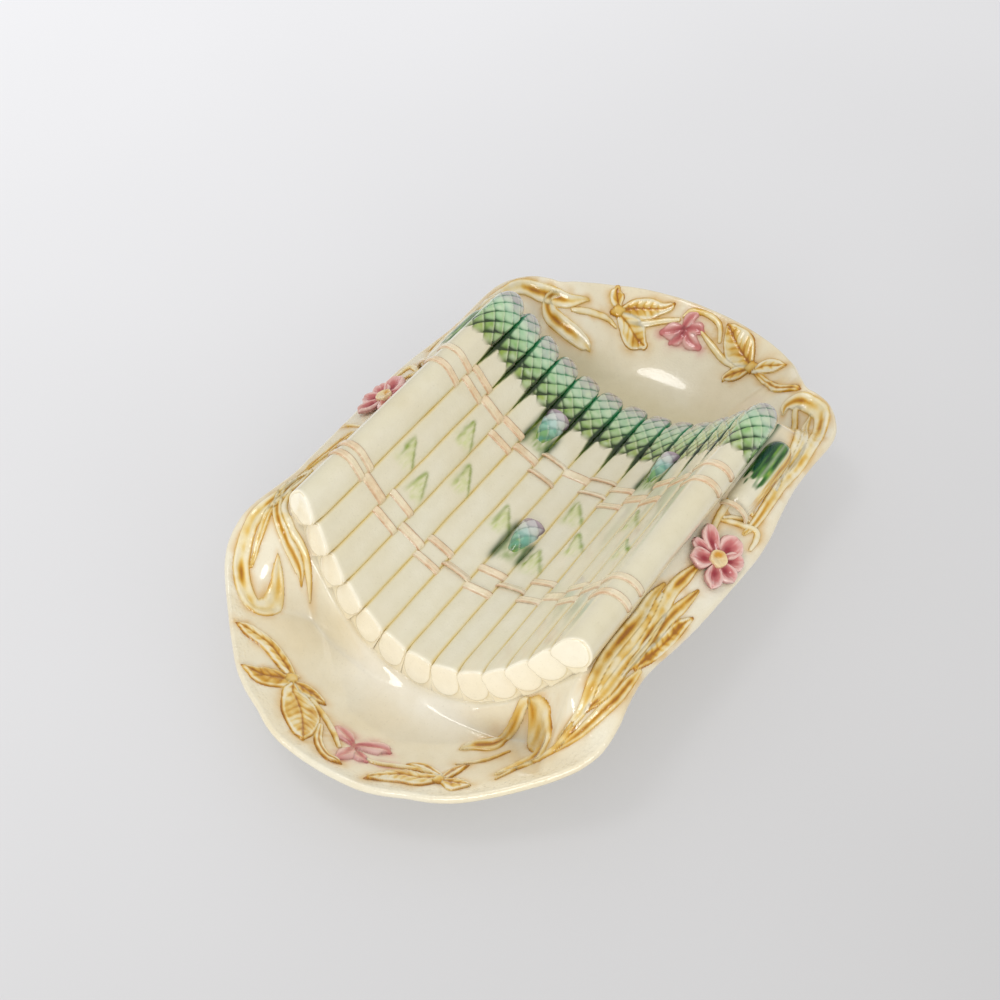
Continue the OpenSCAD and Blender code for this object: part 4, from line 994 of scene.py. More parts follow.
# colours from the base of a head to its tip: its scales, the lines between them, the grooves beside it
cellStops = [(0.0, (204, 206, 138)), (0.12, (152, 170, 54)), (0.26, (132, 164, 58)), (0.42, (132, 180, 92)),
             (0.6, (150, 200, 146)), (0.78, (172, 208, 176)), (0.92, (186, 200, 186)), (1.0, (176, 168, 172))]
lineStops = [(0.0, (88, 102, 14)), (0.1, (38, 58, 0)), (0.28, (16, 38, 0)), (0.45, (14, 72, 18)),
             (0.65, (40, 132, 78)), (0.84, (88, 128, 106)), (1.0, (92, 64, 88))]
gapStops = [(-0.3, (110, 124, 30)), (-0.1, (56, 78, 6)), (0.1, (26, 44, 2)), (0.35, (16, 56, 14)),
            (0.55, (18, 110, 54)), (0.78, (44, 142, 98)), (0.93, (96, 120, 112)), (1.0, (104, 78, 98))]
flankStops = [(0.0, (150, 170, 62)), (0.3, (88, 142, 38)), (0.6, (44, 104, 18)), (1.0, (20, 62, 22))]


def between(pair, share):
    return pair[0] + (pair[1] - pair[0]) * share


def frameAt(lean, turn):
    # y and z of the directions at angles turned outwards from a top that leans inwards
    return (-math.sin(lean) * np.cos(turn) + math.cos(lean) * np.sin(turn),
            math.cos(lean) * np.cos(turn) + math.sin(lean) * np.sin(turn))


def innerStep(i):
    # the slope from spear i to its inner neighbour
    return radians(plateShape["steps"][i - 1]) if i else -radians(plateShape["steps"][0])


def sectionRadius(i, turn, flat=1.0):
    # spear i's section: radius, directions and slack beside it; flat from 0 to 1
    s, r, half = spearSettings, plateShape["spearRadius"], plateShape["spearPitch"] / 2
    topness = ease((np.cos(turn) + 0.15) / 0.45)
    free = (i == 6) & (np.sin(turn) > 0)
    slotHalf, power = between(s["slotHalf"], flat), s["slotPower"]
    squareness = np.where(free, 2.0, 2 + (between(s["squareness"], flat) - 2) * topness)
    wide = np.where(free, r, r + (between(s["fullWidth"], flat) - r) * topness)
    radius = (np.abs(np.sin(turn) / wide) ** squareness + np.abs(np.cos(turn) / r) ** squareness) ** (-1 / squareness)
    dirY, dirZ = frameAt(radians(tilt(i)), turn)
    inner = innerStep(i)
    toInner = -(dirY * math.cos(inner) + dirZ * math.sin(inner))
    total = radius ** -float(power) + np.maximum(toInner / slotHalf, 0) ** power
    slack = half - radius * toInner
    if i < 6:
        outer = radians(plateShape["steps"][i])
        toOuter = dirY * math.cos(outer) + dirZ * math.sin(outer)
        total += np.maximum(toOuter / slotHalf, 0) ** power
        slack = np.minimum(slack, half - radius * toOuter)
    return total ** (-1 / power), dirY, dirZ, np.maximum(slack, 0)


def cellRadius(i, around, dirY, dirZ):
    # how far spear i's cut end reaches: to its neighbours' and down to the bed
    s = spearSettings
    slotHalf = plateShape["spearPitch"] / 2 - 0.02
    t = radians(tilt(i))
    down = math.sin(t) * dirY - math.cos(t) * dirZ
    inner = innerStep(i)
    toInner = -(dirY * math.cos(inner) + dirZ * math.sin(inner))
    wide = slotHalf / np.maximum(toInner, 0.01)
    if i < 6:
        outer = radians(plateShape["steps"][i])
        wide = np.minimum(wide, slotHalf / np.maximum(dirY * math.cos(outer) + dirZ * math.sin(outer), 0.01))
    below = np.minimum(wide, s["cellDepth"] / np.maximum(down, 0.01))
    if i == 6:
        below = np.where(toInner > 0, below, around)
    return around + (np.minimum(below, s["cellReach"]) - around) * ease((0.35 + down) / 0.35)


def scaleRelief(s, u, length, cell, stretch):
    # overlapping diamond scales: height, how near a point is to their two kinds of line, and the ridge crests that get
    # a painted highlight
    bent = s * (1 + 0.3 * np.clip(s / length, 0, 1) ** 2) / stretch
    first, other = (bent + u) / cell, (bent - u) / cell
    a, b = first - np.floor(first), other - np.floor(other)
    middle = (np.floor(first) + np.floor(other) + 1) / 2 * cell * stretch
    rise = 0.5 * (a + b) - 0.5
    pillow = (4 * a * (1 - a)) ** 0.5 * (4 * b * (1 - b)) ** 0.5
    height = 0.8 * rise + 0.35 * pillow
    pitch = cell / math.sqrt(2)
    thick = 0.75 + 0.95 * ease((0.62 - s / length) / 0.45)
    darkLine = bell(a * pitch, thick) + 0.5 * bell((1 - a) * pitch, 0.3) \
        + 0.9 * bell(np.hypot(a, b) * pitch, 1.2 + thick)
    thinLine = bell(b * pitch, 0.4 + 0.3 * thick)
    ridgeHighlight = bell((1 - b) * pitch - 0.35, 0.5)
    return height, darkLine, thinLine, ridgeHighlight, middle, pillow


def headTint(t, gap, darkLine, thinLine, ridgeHighlight, middle, pillow, x, y):
    cellT = np.clip(middle + 0.1 * (mottle(x, y, 4, 77) - 0.5), 0, 1)
    lines = ramp(lineStops, np.clip(t, 0, 1))
    drip = 0.6 + 0.6 * mottle(x, y, 6, 53)
    return layered(
        ramp(cellStops, cellT),
        (ramp(cellStops, np.clip(cellT + 0.2, 0, 1)), mottle(x, y, 5, 12) * 0.6),
        # painted highlight: the rounded middle of each scale paler, mottled
        ((212, 226, 196), pillow * mottle(x, y, 3, 41) * 0.75),
        (lines, np.clip(darkLine * drip, 0, 1) * 0.95),
        (lines, thinLine * (0.3 + 0.5 * ease((0.6 - t) / 0.4)) * drip),
        # painted highlight along the crest of each scale's ridge
        ((226, 232, 206), ridgeHighlight * 0.55 * (1 - np.clip(darkLine, 0, 1))),
        (ramp(gapStops, t), gap))


def grooveAt(i, side):
    # where the groove between spears i and i + 1 runs, in y and z
    turn = radians(plateShape["steps"][i])
    reach = spearSettings["grooveReach"]
    return (((axes[i][0] + axes[i + 1][0]) / 2 - reach * math.sin(turn)) * side,
            (axes[i][1] + axes[i + 1][1]) / 2 + reach * math.cos(turn))


def budStain(i, side, x, y, z):
    # dark green that ran down beside a bud, and a wash below it
    stain, wash = np.zeros(x.shape), np.zeros(x.shape)
    for number, budSide, start in budPlaces.values():
        s = x - start
        inner = grooveAt(number - 1, budSide) if number else grooveAt(0, -budSide)
        for k, (gy, gz) in enumerate((grooveAt(number, budSide), inner)):
            d = np.hypot(y - gy, z - gz)
            window = ease((s + 13 - 3 * k) / 9) * ease((25 - 9 * k - s) / 9)
            stain = np.maximum(stain, bell(d, 2.3) * window)
        if number == i and (i == 0 or budSide == side):
            wash = np.maximum(wash, ease((s + 9) / 6) * ease((12 - s) / 6))
    return stain, wash


def spearStations(length):
    # places along a spear and its share of the radius there: cut face, stalk, scaly head, nose
    s = spearSettings
    head = length - s["headLength"]
    stalk = np.linspace(1.6, head - 8, max(int(head / s["stalkStep"]), 4))
    scaly = np.arange(head - 7.4, length - s["noseLength"], s["headStep"])
    quarter = np.linspace(0.02, 1.0, s["nosePoints"])[:-1] * math.pi / 2
    nose = length - s["noseLength"] + s["noseLength"] * np.sin(quarter)
    return (np.concatenate([s["faceDepth"], stalk, scaly, nose]),
            np.concatenate([s["faceShares"], np.ones(len(stalk) + len(scaly)), np.cos(quarter) ** 0.8]))


def bractPaint(i, base, x, unroll, r, tint):
    # one leaf scale: a low raised point, green at its edges
    s = spearSettings
    local, length = x - base, s["bractLength"]
    half = s["bractHalf"] * np.clip(1 - local / length, 0.001, 1.2) ** 0.75
    fromLine = np.abs(unroll - (0.3 + 0.16 * math.sin(2.1 * i + base)) * (local - 8))
    v = fromLine / half
    inside = (local > 0) & (local < length)
    r = r + np.where(inside & (v < 1), 0.55 * ease(local / 5), 0) * ease((1 - v) * half / 0.7)
    ragged = mottle(x * 0.7, unroll * 2.2, 2.3, 19 + i)
    stroke = bell(fromLine - half * 0.95, 0.75 + 0.75 * ragged) * ease((local + 3) / 9) \
        * ease((length + 2 - local) / 3) * (0.35 + 0.9 * mottle(x, unroll, 6, 9))
    washed = bell(unroll, 4.6) * ease((local + 4) / 6) * ease((10 - local) / 9) * (0.1 + 0.9 * ragged)
    filled = ease((1.05 - v) / 0.3) * ease(local / 7) * ease((length + 1 - local) / 3) * (0.2 + 0.5 * ragged)
    return r, layered(tint, (paint["leafPale"], np.maximum(washed * 0.9, filled)),
                      (paint["leafGreen"], stroke * (0.45 + 0.5 * ragged)))


def flankPaint(x, unroll, turn, t, along, tint):
    # a flank spear: streaky green tip, amber run-off on its outer side
    streak = mottle(x * 0.28 + 40, unroll * 1.5, 1.9, 31)
    green = layered(ramp(flankStops, np.clip(streak + 0.25 * (t - 0.4), 0, 1)),
                    ((12, 70, 62), bell(turn + 0.75, 0.25) * ease(t / 0.4)),
                    ((190, 202, 170), bell(turn + 0.1, 0.1) * 0.5))
    ran = ease((along - 12) / 14)
    return layered(tint, (green, ease((t - 0.1 + 0.3 * (streak - 0.5)) / 0.12)),
                   ((150, 128, 150), ease((t - 0.92) / 0.08) * 0.6),
                   (amberTone(0.3 + 0.75 * streak), ease((turn - 0.42) / 0.12) * ran * 0.9),
                   ((234, 226, 192), bell(turn - 0.42, 0.1) * ran * 0.8))


def makeSpear(name, i, side, start, end, axis, radius=None):
    # one spear, of the bed or, with a radius, of a flank
    s = spearSettings
    wide = radians(s["topSpan"])
    turns = np.concatenate([np.linspace(-wide, wide, s["topPoints"]),
                            np.linspace(wide, 2 * math.pi - wide, s["lowPoints"] + 2)[1:-1]])
    turns = np.where(turns > math.pi, turns - 2 * math.pi, turns)
    length = end - start
    head = length - s["headLength"]
    stationX, stationScale = spearStations(length)
    n, m = len(stationX), len(turns)
    along, turn = np.meshgrid(stationX, turns, indexing="ij")
    scale = np.repeat(stationScale[:, None], m, 1)
    x = along + start
    unroll = turn * plateShape["spearRadius"] * side
    if radius is None:  # a low disc on a wall that runs on from spear to spear
        flat = ease(stationX / 8) * (1 - 0.25 * ease((stationX - head + 6) / 10))
        flat = (flat * (1 - ease((stationX - length + s["noseLength"] + 4) / 8)))[:, None]
        around, dirY, dirZ, slack = sectionRadius(i, turns[None], flat)
        cell = cellRadius(i, around, dirY, dirZ)
        body = around + (cell - around) * (1 - ease((along - 5) / 8))
        rim = around * 0.97
        disc = np.minimum(rim, s["discRadius"] + (rim - s["discRadius"]) * ease((np.cos(turn) - 0.1) / 0.5))
        f = len(s["faceCell"])
        r = body * scale
        r[:f] = (disc[:f] + (body[:f] - disc[:f]) * np.array(s["faceCell"])[:, None]) \
            * np.array(s["faceShares"])[:, None]
    else:
        dirY, dirZ = frameAt(-radians(plateShape["flankAngle"]), turns)
        slack, r = np.full((n, m), 9.0), np.full((n, m), radius) * scale
    t = (along - head) / s["headLength"]
    h, darkLine, thinLine, ridgeHighlight, middle, pillow = scaleRelief(
        along - head + 2.0, unroll + i * 3.1, s["headLength"], s["scaleAcross"], s["scaleStretch"])
    rough = ease((middle / s["headLength"] - 0.02) / 0.06) * (t > 0) * (radius is None)
    topHalf = ease((np.cos(turn) + 0.35) / 0.4)
    r = r + (h * rough * s["scaleRise"] * np.minimum(1, scale + 0.15) - 0.25 * rough) * topHalf
    # the stalk is a little uneven
    r = r + (mottle(x + 50 * i, unroll, 23, 5 + i) - 0.5) * 0.5 * ease(along / 8) * (scale >= 1) * topHalf
    wander = mottle(x, unroll + 40 * i, 9, 21)
    tint = layered(paint["stalk"], (paint["stalkPale"], bell(turn, 0.5) * 0.55 + 0.3 * (wander - 0.5)),
                   (paint["groove"], bell(slack, 0.9) * (np.cos(turn) > -0.5) * (0.55 + 0.5 * wander)))
    if radius is None:
        for base in bracts.get((i, side), []):
            r, tint = bractPaint(i, base, x, unroll, r, tint)
        stain, wash = budStain(i, side, x, (axis[0] + dirY * r) * side, axis[1] + dirZ * r)
        streak = mottle(x * 0.5, unroll * 2, 2.1, 14)
        tint = layered(tint, ((120, 150, 60), wash * (0.15 + 0.75 * streak)),
                       ((34, 72, 12), np.clip(stain * (0.8 + 0.4 * streak), 0, 1) * 0.95))
    else:
        r = r * (0.62 + 0.38 * ease(along / 18)) - 0.3 * np.cos(turn * 13) ** 2 * ease((turn - 0.3) / 0.3)
        tint = flankPaint(x, unroll, turn, t, along, tint)
    gapWidth = np.interp(t + 0.08 * wander, s["gapPlaces"], s["gapWidths"])
    gap = ease((gapWidth * 1.5 - slack) / (0.7 * gapWidth + 0.15)) * (gapWidth > 0.02) * (np.cos(turn) > -0.4)
    headColour = headTint(t, gap, darkLine * rough, thinLine * rough, ridgeHighlight * rough,
                          middle / s["headLength"], pillow * rough, x, unroll)
    tint = blend(tint, headColour, np.maximum(ease((t + 0.01) / 0.1) * rough, gap) * (t > -0.4))
    y, z = axis[0] + dirY * r, axis[1] + dirZ * r
    poles = np.array([[x[0].mean(), axis[0] * side, axis[1]], [end, axis[0] * side, axis[1]]])
    if radius is None:
        # the cut face is painted pale, partly its own colour and partly painted light for the light that falls on the
        # cut ends, with a fine line round it; it leans back from its foot and follows the bow of the bed
        discLine = np.zeros((n, 1))
        discLine[:f, 0] = bell(np.array(s["faceDepth"]) - 0.42, 0.22)
        cutTint = blend(linear((250, 245, 226)), paint["groove"], discLine * 0.45 * (np.cos(turn) < 0.75))
        tint = blend(tint, cutTint, 1 - ease((along - 0.9) / 1.2))
        lean = np.clip(1 - along / s["leanLength"], 0, 1) ** 1.5
        spearRadius = plateShape["spearRadius"]
        x = x + (buttEnd(y) - buttEnd(axis[0])) * lean
        x = x - plateShape["buttFoot"] * lean * (spearRadius - z + axis[1]) / spearRadius / 2
        poles[0, 0] = x[0].mean()
    else:  # sunk into the flank
        flank = radians(plateShape["flankAngle"])
        sink = -5.5 * (1 - ease(along / 16))
        y, z = y + sink * math.sin(flank), z + sink * math.cos(flank)
        lift = np.maximum(-1.0 - (y - crest[0]) * math.sin(flank) - (z - crest[1]) * math.cos(flank), 0)
        y, z = y + lift * math.sin(flank), z + lift * math.cos(flank)
        poles[0, 2] += 2.5
        poles[1, 2] = z[-1].max() - 0.2
    return tubeMesh(name, np.stack([x, y * side, z], -1), poles, tint, side > 0)


for i in range(-6, 7):
    side = 1 if i >= 0 else -1
    number = abs(i)
    name = "spear_middle" if i == 0 else "spear_%s_%d" % ("left" if side > 0 else "right", number)
    axis = axes[number]
    addPiece(name, makeSpear(name, number, side, float(buttEnd(axis[0])), float(tipEnd(axis[0])), axis), "spear_glaze")
flankSettings = {"radius": 8.7, "y": 96.0, "z": 59.5}
for side, label in ((1, "left"), (-1, "right")):
    name = "flank_spear_" + label
    low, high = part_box(name)
    addPiece(name, makeSpear(name, 7, side, low.x * 1000, high.x * 1000, (flankSettings["y"], flankSettings["z"]),
                             flankSettings["radius"]), "spear_glaze")
print("spears made")


# ---------------------------------------------------------------- geometry node helpers
def grown(mesh, tree, values, material):
    # runs a tree on a mesh and gives back the plain result
    host = bpy.data.objects.new("host", mesh)
    bpy.context.scene.collection.objects.link(host)
    modifier = host.modifiers.new("tree", "NODES")
    modifier.node_group = tree
    values = {"Material": material, **values}
    for item in tree.interface.items_tree:
        if item.item_type == "SOCKET" and item.in_out == "INPUT" and item.name in values:
            modifier[item.identifier] = values[item.name]
    evaluated = host.evaluated_get(bpy.context.evaluated_depsgraph_get())
    made = bpy.data.meshes.new_from_object(evaluated)
    host.modifiers.clear()
    bpy.data.objects.remove(host)
    return made


def meshPoints(mesh):
    co = np.zeros(len(mesh.vertices) * 3)
    mesh.vertices.foreach_get("co", co)
    return co.reshape(-1, 3) * 1000


def finished(tree, geometry, material, result):
    # the end of every tree: real geometry with its material
    real = node(tree, "GeometryNodeRealizeInstances", {"Geometry": geometry}).outputs["Geometry"]
    dressed = node(tree, "GeometryNodeSetMaterial", {"Geometry": real, "Material": material})
    feed(tree, result, dressed.outputs["Geometry"])


# ---------------------------------------------------------------- ties
tieSettings = {
    # places of the bands on spears 6 left to 6 right, in mm along the plate
    "front_tie": [(-59.9, -52.2), (-57.4,), (-63.6, -49.0), (-57.4,), (-62.1, -48.9), (-54.3,), (-57.6, -43.2),
                  (-47.6,), (-53.4, -39.4), (-50.1,), (-55.8, -45.3), (-50.4,), (-60.3, -48.8)],
    "rear_tie": [(25.5, 38.1), (32.5, 42.4), (36.1,), (26.3, 39.5), (33.1,), (27.3, 42.0), (39.9,),
                 (32.5, 44.3), (25.5, 39.5), (31.2,), (25.5, 41.1), (36.8,), (29.1, 42.4)],
    "singleWidth": 6.2,
    "doubleWidth": 5.0,
    "height": 1.1,
    "sectionPoints": 24,
    "dent": 0.3,
    "dentSharpness": 2.2,
    "clear": 0.1,                 # over the spears
    "halfTurn": 74,               # degrees from the top of a spear to its groove
    "outerTurn": 128,             # down the free side of the outermost spear
    "pathPoints": 32,
    "outerPoints": 44,
    "flankX": 36.5,
    "flankWidth": 3.6,
    "flankHeight": 1.0,
    "flankTurn": 86,
    "flankPoints": 30,
}

# a band swept along each path: a flat rounded section with a dent along its middle
bandTree, bandIn, bandOut = newGroup("withyBand", "GeometryNodeTree", [
    ("Geometry", "Geometry", None), ("Width", "Float", 0.005), ("Height", "Float", 0.0014),
    ("Dent", "Float", tieSettings["dent"]), ("Section Points", "Int", tieSettings["sectionPoints"]),
    ("Material", "Material", None)], [("Geometry", "Geometry")])
curve = node(bandTree, "GeometryNodeMeshToCurve", {"Mesh": bandIn["Geometry"]}).outputs["Curve"]
circle = node(bandTree, "GeometryNodeCurvePrimitiveCircle", {"Resolution": bandIn["Section Points"], "Radius": 1})
place = node(bandTree, "GeometryNodeInputPosition").outputs[0]
apart = node(bandTree, "ShaderNodeSeparateXYZ", {0: place}).outputs
fromMiddle = maths(bandTree, "MULTIPLY", maths(bandTree, "ABSOLUTE", apart["X"]), tieSettings["dentSharpness"])
nearMiddle = maths(bandTree, "SUBTRACT", 1, fromMiddle, True)
dented = maths(bandTree, "SUBTRACT", 1, maths(bandTree, "MULTIPLY", nearMiddle, bandIn["Dent"]))
across = maths(bandTree, "MULTIPLY", apart["X"], maths(bandTree, "MULTIPLY", bandIn["Width"], 0.5))
upwards = maths(bandTree, "MULTIPLY", maths(bandTree, "MULTIPLY", apart["Y"], bandIn["Height"]), dented)
section = node(bandTree, "ShaderNodeCombineXYZ", {"X": across, "Y": upwards}).outputs[0]
shaped = node(bandTree, "GeometryNodeSetPosition", {"Geometry": circle.outputs["Curve"], "Position": section})
sweep = node(bandTree, "GeometryNodeCurveToMesh", {"Curve": curve, "Profile Curve": shaped.outputs["Geometry"],
                                                   "Fill Caps": True})
finished(bandTree, sweep.outputs["Mesh"], bandIn["Material"], bandOut["Geometry"])


def bandPath(i, side, x):
    # the line over spear i, from groove to groove
    s = tieSettings
    outer = radians(s["outerTurn" if i == 6 else "halfTurn"])
    turns = np.linspace(-radians(s["halfTurn"]), outer, s["outerPoints" if i == 6 else "pathPoints"])
    radius, dirY, dirZ, _ = sectionRadius(i, turns)
    radius = radius + s["clear"]
    lean = 0.9 * np.sin(turns * 0.9 + i) * 0.8
    return np.stack([x + lean, (axes[i][0] + dirY * radius) * side, axes[i][1] + dirZ * radius], -1)


def flankPath(side):
    # the short arch over a flank spear
    s, count = tieSettings, tieSettings["flankPoints"]
    turns = np.linspace(-radians(s["flankTurn"]), radians(s["flankTurn"]), count)
    lean = radians(plateShape["flankAngle"])
    r = flankSettings["radius"] + s["clear"]
    y = flankSettings["y"] + r * (math.sin(lean) * np.cos(turns) + math.cos(lean) * np.sin(turns))
    z = flankSettings["z"] + r * (math.cos(lean) * np.cos(turns) - math.sin(lean) * np.sin(turns))
    return np.stack([np.full(count, s["flankX"]), y * side, z], -1)


def sweptBands(paths, width, height):
    # bands along paths in mm, as one mesh
    points, edges = [], []
    for path in paths:
        edges += [(len(points) + k, len(points) + k + 1) for k in range(len(path) - 1)]
        points += (path * 0.001).tolist()
    mesh = bpy.data.meshes.new("paths")
    mesh.from_pydata(points, edges, [])
    return grown(mesh, bandTree, {"Width": width * 0.001, "Height": height * 0.001}, glazes["withy_glaze"])


def joinedMesh(name, meshes):
    # several meshes as one, with their material
    points, faces, start = [], [], 0
    for mesh in meshes:
        co = meshPoints(mesh)
        points.append(co)
        faces += [tuple(v + start for v in p.vertices) for p in mesh.polygons]
        start += len(co)
    made = bpy.data.meshes.new(name)
    made.from_pydata((np.vstack(points) * 0.001).tolist(), [], faces)
    made.materials.append(meshes[0].materials[0])
    made.update()
    return made


def pathCentres(path, width):
    # every point of a path with the band's own x, its half width and how near the point is to an end
    count = len(path)
    return np.column_stack([path, path[:, 0], np.full(count, width / 2), np.abs(np.linspace(-1, 1, count))])


def bandTint(points, centres):
    tint = np.zeros((len(points), 3))
    batch = 4000
    for begin in range(0, len(points), batch):
        p = points[begin:begin + batch]
        near = np.argmin(((p[:, None] - centres[None, :, :3]) ** 2).sum(-1), 1)
        share = (p[:, 0] - centres[near, 3]) / centres[near, 4]
        endShare = centres[near, 5]
        blot = mottle(p[:, 0] * 3 + p[:, 1], p[:, 1] + p[:, 2], 2.2, 4)
        wash = mottle(p[:, 0] * 0.4 + 9, (p[:, 1] + p[:, 2]) * 0.5, 5.0, 23)
        edge = bell(share - 0.84, 0.15) + bell(share + 0.84, 0.15) * 0.75
        tint[begin:begin + batch] = layered(
            paint["withyPale"], (paint["withy"], 0.06 + ease((wash - 0.35) / 0.4) * (0.2 + 0.4 * blot)),
            (paint["withyDark"], edge * (0.4 + 0.6 * blot)),
            (paint["amberDark"], ease((endShare - 0.86) / 0.14) * (0.45 + 0.5 * wash)))
    return tint


def addTie(name, mesh, centres):
    paintMesh(mesh, bandTint(meshPoints(mesh), centres))
    addPiece(name, mesh, "withy_glaze")


for name in ("front_tie", "rear_tie"):
    paths, centres = {"singleWidth": [], "doubleWidth": []}, []
    for k, places in enumerate(tieSettings[name]):
        label = "singleWidth" if len(places) == 1 else "doubleWidth"
        for x in places:
            path = bandPath(abs(6 - k), 1 if k < 6 else -1, x)
            paths[label].append(path)
            centres.append(pathCentres(path, tieSettings[label]))
    bands = [sweptBands(lines, tieSettings[label], tieSettings["height"]) for label, lines in paths.items()]
    addTie(name, joinedMesh(name, bands), np.vstack(centres))
for side, label in ((1, "left"), (-1, "right")):
    path, width = flankPath(side), tieSettings["flankWidth"]
    addTie("flank_tie_" + label, sweptBands([path], width, tieSettings["flankHeight"]), pathCentres(path, width))
print("ties made")

# ---------------------------------------------------------------- buds
budSettings = {"length": 28.0, "radius": 7.4, "cell": 7.6, "stretch": 1.25, "scaleRise": 0.7, "lift": 5.2,
               "around": 72, "rows": 64}
budStops = [(0.0, (120, 148, 50)), (0.16, (120, 164, 84)), (0.34, (138, 190, 160)), (0.52, (178, 208, 200)),
            (0.7, (208, 216, 208)), (0.86, (204, 202, 202)), (1.0, (176, 158, 166))]
budLines = [(0.0, (40, 66, 8)), (0.3, (22, 96, 56)), (0.5, (50, 128, 112)), (0.7, (120, 136, 134)),
            (0.85, (134, 108, 122)), (1.0, (110, 72, 94))]


def makeBud(name, i, side, start):
    s = budSettings
    t = radians(tilt(i))
    axisY = axes[i][0] - s["lift"] * math.sin(t)
    axisZ = axes[i][1] + s["lift"] * math.cos(t)
    share = np.linspace(0.02, 1, s["rows"])
    turns = np.linspace(-math.pi, math.pi, s["around"], endpoint=False)
    nose = np.minimum(1, ((1 - share) / 0.16) ** 0.5 * 0.98 + 0.02)
    profile = s["radius"] * (0.55 + 1.35 * share - 0.9 * share ** 2) * nose
    k, turn = np.meshgrid(share, turns, indexing="ij")
    r = np.repeat(profile[:, None], len(turns), 1)
    along = k * s["length"]
    unroll = turn * s["radius"] * 0.95
    h, darkLine, thinLine, ridgeHighlight, middle, _ = scaleRelief(along, unroll, s["length"], s["cell"], s["stretch"])
    r = r + h * s["scaleRise"] * np.minimum(1, r / 4)
    x = start + along
    dirY, dirZ = frameAt(t, turn)
    cloud = mottle(x, unroll, 3.4, 61 + i)
    lines = ramp(budLines, k)
    beside = np.abs(turn)
    tint = layered(
        ramp(budStops, np.clip(middle / s["length"] + 0.04, 0, 1)),
        (lines, np.clip(darkLine, 0, 1) * 0.5 + thinLine * 0.2),
        # painted highlight along the crest of each scale's ridge
        ((226, 224, 220), ridgeHighlight * 0.35),
        (lines, ease((beside - 1.05) / 0.6) * 0.85),
        ((90, 158, 140), ease((cloud - 0.45) / 0.35) * ease((0.62 - k) / 0.3) * 0.6),
        ((132, 92, 108), ease((k - 0.86) / 0.1) * 0.35),
        ((86, 50, 78), ease((beside - 0.75) / 0.3) * ease((k - 0.45) / 0.2) * 0.8))
    grid = np.stack([x, (axisY + r * dirY) * side, axisZ + r * dirZ], -1)
    poles = [[start, axisY * side, axisZ], [start + s["length"], axisY * side, axisZ]]
    return tubeMesh(name, grid, poles, tint, side > 0)


for name, (i, side, start) in budPlaces.items():
    addPiece(name, makeBud(name, i, side, start), "green_glaze")
print("buds made")

# ---------------------------------------------------------------- side flowers
flowerSettings = {
    "length": 18.5, "width": 12.6, "thick": 2.6, "x": 5.0, "y": 104.6, "inner": 2.6,
    "eyeRadius": 5.0, "eyeHeight": 4.2, "tilt": 0.15,
    "petalRows": 30, "petalColumns": 25, "eyeRows": 26, "eyeAround": 56,
    # half width of a petal along it, as a share
    "outlinePlaces": [0, 0.12, 0.3, 0.5, 0.64, 0.78, 0.88, 0.95, 1],
    "outline": [0.3, 0.5, 0.78, 0.98, 1, 0.86, 0.62, 0.34, 0.05],
    # each petal's turn in degrees, then its length, width and height as shares
    "petals": [(-94, 0.95, 0.62, 0.55), (-53, 1.08, 0.82, 1.0), (8, 1.0, 1.12, 1.0), (52, 0.82, 0.95, 0.85),
               (108, 0.78, 0.95, 1.0), (160, 0.98, 0.84, 1.05), (-130, 0.88, 1.0, 1.05)],
}

# a petal on every point, turned and sized by the point's own attributes
petalTree, petalIn, petalOut = newGroup("petalRing", "GeometryNodeTree", [
    ("Geometry", "Geometry", None), ("Petal", "Object", None), ("Tilt", "Float", 0.1), ("Material", "Material", None)],
    [("Geometry", "Geometry")])
petalInfo = node(petalTree, "GeometryNodeObjectInfo", {"Object": petalIn["Petal"]})
turned = node(petalTree, "GeometryNodeInputNamedAttribute", {"Name": "turn"}, data_type="FLOAT")
sized = node(petalTree, "GeometryNodeInputNamedAttribute", {"Name": "share"}, data_type="FLOAT_VECTOR")
leaning = maths(petalTree, "MULTIPLY", petalIn["Tilt"], -1)
spin = node(petalTree, "ShaderNodeCombineXYZ", {"Y": leaning, "Z": turned.outputs["Attribute"]})
onPoints = node(petalTree, "GeometryNodeInstanceOnPoints", {
    "Points": petalIn["Geometry"], "Instance": petalInfo.outputs["Geometry"], "Rotation": spin.outputs[0],
    "Scale": sized.outputs["Attribute"]})
finished(petalTree, onPoints.outputs["Instances"], petalIn["Material"], petalOut["Geometry"])


def petalPoints():
    # one point a petal, with its turn and size as attributes
    petals = flowerSettings["petals"]
    mesh = bpy.data.meshes.new("petalPoints")
    mesh.from_pydata([(0, 0, 0)] * len(petals), [], [])
    turns = mesh.attributes.new(name="turn", type="FLOAT", domain="POINT")
    turns.data.foreach_set("value", [radians(p[0]) for p in petals])
    shares = mesh.attributes.new(name="share", type="FLOAT_VECTOR", domain="POINT")
    shares.data.foreach_set("vector", [v for p in petals for v in p[1:]])
    return mesh


